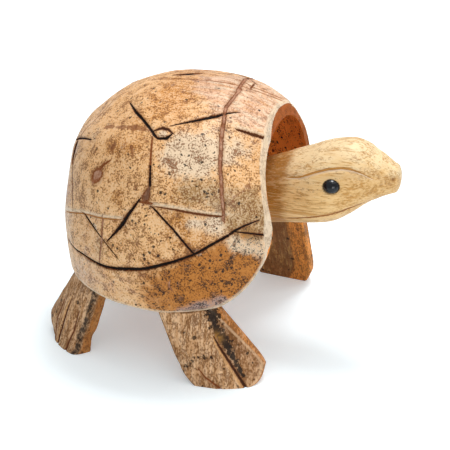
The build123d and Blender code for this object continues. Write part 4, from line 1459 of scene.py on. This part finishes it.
def leg_material(colours):
    """Rough leg wood: brown with pale fibres along the slab, scorched cuts and streaks, orange cut edges.

    The toe cuts' dark is partly painted shadow, and their ridges have a painted highlight.
    """
    wood = Surface("rough_leg_wood")
    place = wood.attribute("slab", "Vector")
    fibres = wood.noise(wood.stretch(place, (1.0, 0.16, 1.0)), 900.0, 4.0, 0.65)
    grit = wood.noise(place, 750.0, 4.0, 0.7)
    drift = wood.noise(place, 190.0, 4.0, 0.65)
    pores = wood.effect("wood_pores", Place=wood.stretch(place, (1.0, 0.5, 1.0)), Pitch=2200.0, Level=0.51)
    flecks = wood.effect("burnt_flecks", Place=place, Pitch=420.0, Share=0.4, Size=0.24)["Flecks"]
    lines = carved_lines(wood, place)
    on_inner = wood.attribute("inner")
    inner = wood.blend(wood.step(fibres, 0.5, 0.66, 0.0, 0.75), colours.leg_dark, colours.head_gold)
    fresh = wood.blend(wood.step(fibres, 0.48, 0.62, 0.0, 0.6), colours.leg_cut, colours.leg_dark)
    charred = wood.plus(wood.attribute("burn"), wood.swing(grit, 3.0))

    colour = wood.layers(
        colours.leg_brown,
        (wood.step(fibres, 0.42, 0.62), 1.0, colours.leg_pale),
        (wood.step(drift, 0.5, 0.68), 0.6, colours.leg_dark),
        (wood.attribute("shade"), wood.step(grit, 0.35, 0.6, 0.6, 1.0), colours.leg_dark),
        (on_inner, 0.85, inner),
        (wood.attribute("fresh"), 0.9, fresh),
        (pores["Light"], wood.times(wood.minus(1.0, on_inner), 0.35), colours.leg_pale),
        (pores["Pores"], 0.7, colours.leg_dark),
        (flecks, 0.8, colours.scorch),
        # Painted highlight on the ridge beside each toe cut
        (lines["Ridge"], 0.75, colours.shell_tan),
        (wood.attribute("corner_pale"), 0.7, colours.leg_pale),
        (wood.attribute("corner_dark"), wood.step(grit, 0.36, 0.56, 0.35, 0.9), colours.scorch),
        (wood.step(charred, 0.45, 0.85), 0.92, colours.scorch),
        (wood.attribute("gold"), wood.step(grit, 0.42, 0.55, 0.0, 0.8), colours.head_gold),
        (lines["Border"], 0.3, colours.rust),
    )
    colour = lay_lines(wood, colour, colours, lines, colours.rust, colours.leg_brown, grit)
    roughness = wood.step(fibres, 0.3, 0.7, 0.75, 0.55)
    height = wood.minus(fibres, pores["Pores"])
    return wood.finish(colour, roughness, height, 0.0002, Specular_IOR_Level=0.2)


def bead_material():
    """Polished black bead, with a faint cloudiness in the glaze."""
    glaze = Surface("black_bead")
    cloud = glaze.noise(glaze.object_place(), 500.0)
    colour = glaze.blend(cloud, (0.004, 0.005, 0.007), (0.012, 0.013, 0.016))
    roughness = glaze.step(cloud, 0.3, 0.7, 0.02, 0.05)
    return glaze.finish(colour, roughness, cloud, 0.00001, Specular_IOR_Level=0.3)


def wire_material():
    """Dull galvanised wire: grey metal with patchy roughness and fine draw marks."""
    zinc = Surface("galvanised_wire")
    place = zinc.object_place()
    patch = zinc.noise(place, 700.0, 3.0)
    draw_marks = zinc.noise(zinc.stretch(place, (1.0, 1.0, 0.1)), 2600.0)
    colour = zinc.blend(patch, (0.42, 0.42, 0.43), (0.62, 0.62, 0.61))
    return zinc.finish(colour, zinc.step(patch, 0.3, 0.7, 0.30, 0.52), draw_marks, 0.00003, Metallic=1.0)


def iron_material():
    """Cut iron slug: dark grey with rust blooms."""
    iron = Surface("iron_slug")
    place = iron.object_place()
    bloom = iron.step(iron.noise(place, 260.0, 4.0, 0.65), 0.5, 0.68)
    grit = iron.noise(place, 1800.0)
    colour = iron.blend(bloom, (0.16, 0.155, 0.15), (0.17, 0.065, 0.025))
    roughness = iron.step(bloom, 0.0, 1.0, 0.42, 0.85)
    return iron.finish(colour, roughness, grit, 0.00008, Metallic=iron.minus(1.0, bloom))


def dowel_material():
    """Pale dowel wood with streaks along the peg."""
    wood = Surface("dowel_wood")
    grain = wood.noise(wood.stretch(wood.object_place(), (1.0, 1.0, 0.12)), 1400.0, 3.0)
    colour = wood.blend(grain, (0.58, 0.38, 0.18), (0.72, 0.52, 0.29))
    return wood.finish(colour, wood.step(grain, 0.3, 0.7, 0.55, 0.7), grain, 0.00006)


# Stage: the floor in metres, and the size and place of each lamp, from the camera's target

WHITE = (1.0, 1.0, 1.0)
FLOOR_HALF = 4.0
FLOOR_COLOUR, FLOOR_LIFT = (0.76, 0.85, 0.895), 0.27
LAMPS = {
    "softbox": (0.8, (0.15, 0.24, 0.70)),
    "catch_light": (0.22, (0.05, 0.22, 0.72)),
    "side_lamp": (0.5, (0.55, -0.70, 0.14)),
}


def seen_by(graph, *rays):
    """1 for rays of any of the kinds given, and otherwise 0."""
    path = graph.node("ShaderNodeLightPath").outputs
    seen = path[rays[0]]
    for ray in rays[1:]:
        seen = graph.math("MAXIMUM", seen, path[ray])
    return seen


def floor_material():
    """White floor that keeps the shadow: matt, and lifted to white where the camera or a mirror sees it."""
    floor = Surface("white_floor")
    seen = seen_by(floor, "Is Camera Ray", "Is Glossy Ray", "Is Transmission Ray")
    return floor.shade({
        "Base Color": FLOOR_COLOUR, "Roughness": 0.9, "Specular IOR Level": 0.0,
        "Emission Color": WHITE, "Emission Strength": floor.times(seen, FLOOR_LIFT)})


def white_world(fill):
    """A white world: full strength where it is seen, and the fill light elsewhere."""
    world = bpy.data.worlds.new("white_studio")
    world.use_nodes = True
    graph = Graph(world.node_tree)
    seen = seen_by(graph, "Is Camera Ray", "Is Transmission Ray")
    strength = graph.plus(graph.times(seen, 1.0 - fill), fill)
    graph.fill(world.node_tree.nodes["Background"], {"Color": WHITE, "Strength": strength})
    return world


def aim(thing, place, target):
    """Place an object and turn its -Z towards a target."""
    thing.location = place
    thing.rotation_mode = "QUATERNION"
    thing.rotation_quaternion = (Vector(target) - Vector(place)).to_track_quat("-Z", "Y")


def add_lamp(name, power, size, place, target):
    """A square lamp that faces a target."""
    lamp = bpy.data.lights.new(name, "AREA")
    lamp.energy, lamp.shape, lamp.size = power, "SQUARE", size
    aim(add_object(name, lamp), place, target)


# Operators

class TurtleOperator:
    """What the turtle's operators share."""

    bl_options = {"REGISTER", "UNDO"}


class TURTLE_OT_shell(TurtleOperator, bpy.types.Operator):
    """Carve the shell"""

    bl_idname = "turtle.shell"
    bl_label = "Shell"

    def execute(self, context):
        shell_piece(context.scene.turtle_shell, shell_material(context.scene.turtle_colours))
        return {"FINISHED"}


class TURTLE_OT_head(TurtleOperator, bpy.types.Operator):
    """Carve the head and neck"""

    bl_idname = "turtle.head"
    bl_label = "Head"

    def execute(self, context):
        head_piece(context.scene.turtle_head, head_material(context.scene.turtle_colours))
        return {"FINISHED"}


class TURTLE_OT_eyes(TurtleOperator, bpy.types.Operator):
    """Set a bead in each side of the head"""

    bl_idname = "turtle.eyes"
    bl_label = "Eyes"

    def execute(self, context):
        material = bead_material()
        for side in BEAD_CENTRES:
            bead_piece(side, material)
        return {"FINISHED"}


class TURTLE_OT_legs(TurtleOperator, bpy.types.Operator):
    """Carve the four legs"""

    bl_idname = "turtle.legs"
    bl_label = "Legs"

    def execute(self, context):
        scene = context.scene
        material = leg_material(scene.turtle_colours)
        for name in STANCES:
            leg_piece(name, scene.turtle_legs, scene.turtle_shell, material)
        return {"FINISHED"}


class TURTLE_OT_hanger(TurtleOperator, bpy.types.Operator):
    """Finish the wire hanger, the iron slug and the pegs"""

    bl_idname = "turtle.hanger"
    bl_label = "Hanger, slug and pegs"

    def execute(self, context):
        finishes = {
            wire_material(): ["roof_eye", "neck_eye", "hanger_link"],
            iron_material(): ["counterweight"],
            dowel_material(): [f"peg_{name}" for name in STANCES],
        }
        for material, nodes in finishes.items():
            for node in nodes:
                for material_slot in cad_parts[node].material_slots:
                    material_slot.material = material
        return {"FINISHED"}


class TURTLE_OT_stage(TurtleOperator, bpy.types.Operator):
    """Set the floor, the light and the camera"""

    bl_idname = "turtle.stage"
    bl_label = "Stage"

    def execute(self, context):
        scene, stage = context.scene, context.scene.turtle_stage
        corners = FLOOR_HALF * np.array([(-1, -1, 0), (1, -1, 0), (1, 1, 0), (-1, 1, 0)])
        mesh = bpy.data.meshes.new("floor")
        mesh.from_pydata(corners.tolist(), [], [(0, 1, 2, 3)])
        mesh.materials.append(floor_material())
        floor = add_object("floor", mesh)

        scene.world = white_world(stage.fill)
        middle = Vector(stage.target)
        for name, (size, place) in LAMPS.items():
            add_lamp(name, getattr(stage, name), size, middle + Vector(place), middle)

        camera = add_object("camera", bpy.data.cameras.new("camera"))
        camera.data.lens = stage.lens
        flat = np.cos(stage.elevation)
        back = Vector((np.sin(stage.azimuth) * flat, -np.cos(stage.azimuth) * flat, np.sin(stage.elevation)))
        aim(camera, middle + back * stage.distance, middle)
        scene.camera = camera
        scene.view_settings.view_transform = "Standard"
        return {"FINISHED"}


OPERATORS = (
    TURTLE_OT_shell, TURTLE_OT_head, TURTLE_OT_eyes, TURTLE_OT_legs, TURTLE_OT_hanger, TURTLE_OT_stage)


class TURTLE_PT_panel(bpy.types.Panel):
    """The turtle's pieces and settings"""

    bl_label = "Nodding turtle"
    bl_space_type = "VIEW_3D"
    bl_region_type = "UI"
    bl_category = "Turtle"

    def draw(self, context):
        for operator in OPERATORS:
            self.layout.operator(operator.bl_idname)
        for name, group in SETTINGS.items():
            box = self.layout.box()
            box.label(text=group.__doc__)
            for title in group.__annotations__:
                box.prop(getattr(context.scene, name), title)


def register():
    for cls in (*SETTINGS.values(), *OPERATORS, TURTLE_PT_panel):
        bpy.utils.register_class(cls)
    for name, group in SETTINGS.items():
        setattr(bpy.types.Scene, name, bpy.props.PointerProperty(type=group))


def unregister():
    for name in SETTINGS:
        delattr(bpy.types.Scene, name)
    for cls in reversed((*SETTINGS.values(), *OPERATORS, TURTLE_PT_panel)):
        bpy.utils.unregister_class(cls)


def main():
    """Make the turtle and its stage."""
    register()
    bpy.ops.turtle.shell()
    bpy.ops.turtle.head()
    bpy.ops.turtle.eyes()
    bpy.ops.turtle.legs()
    bpy.ops.turtle.hanger()
    bpy.ops.turtle.stage()


if __name__ == "__main__":
    main()
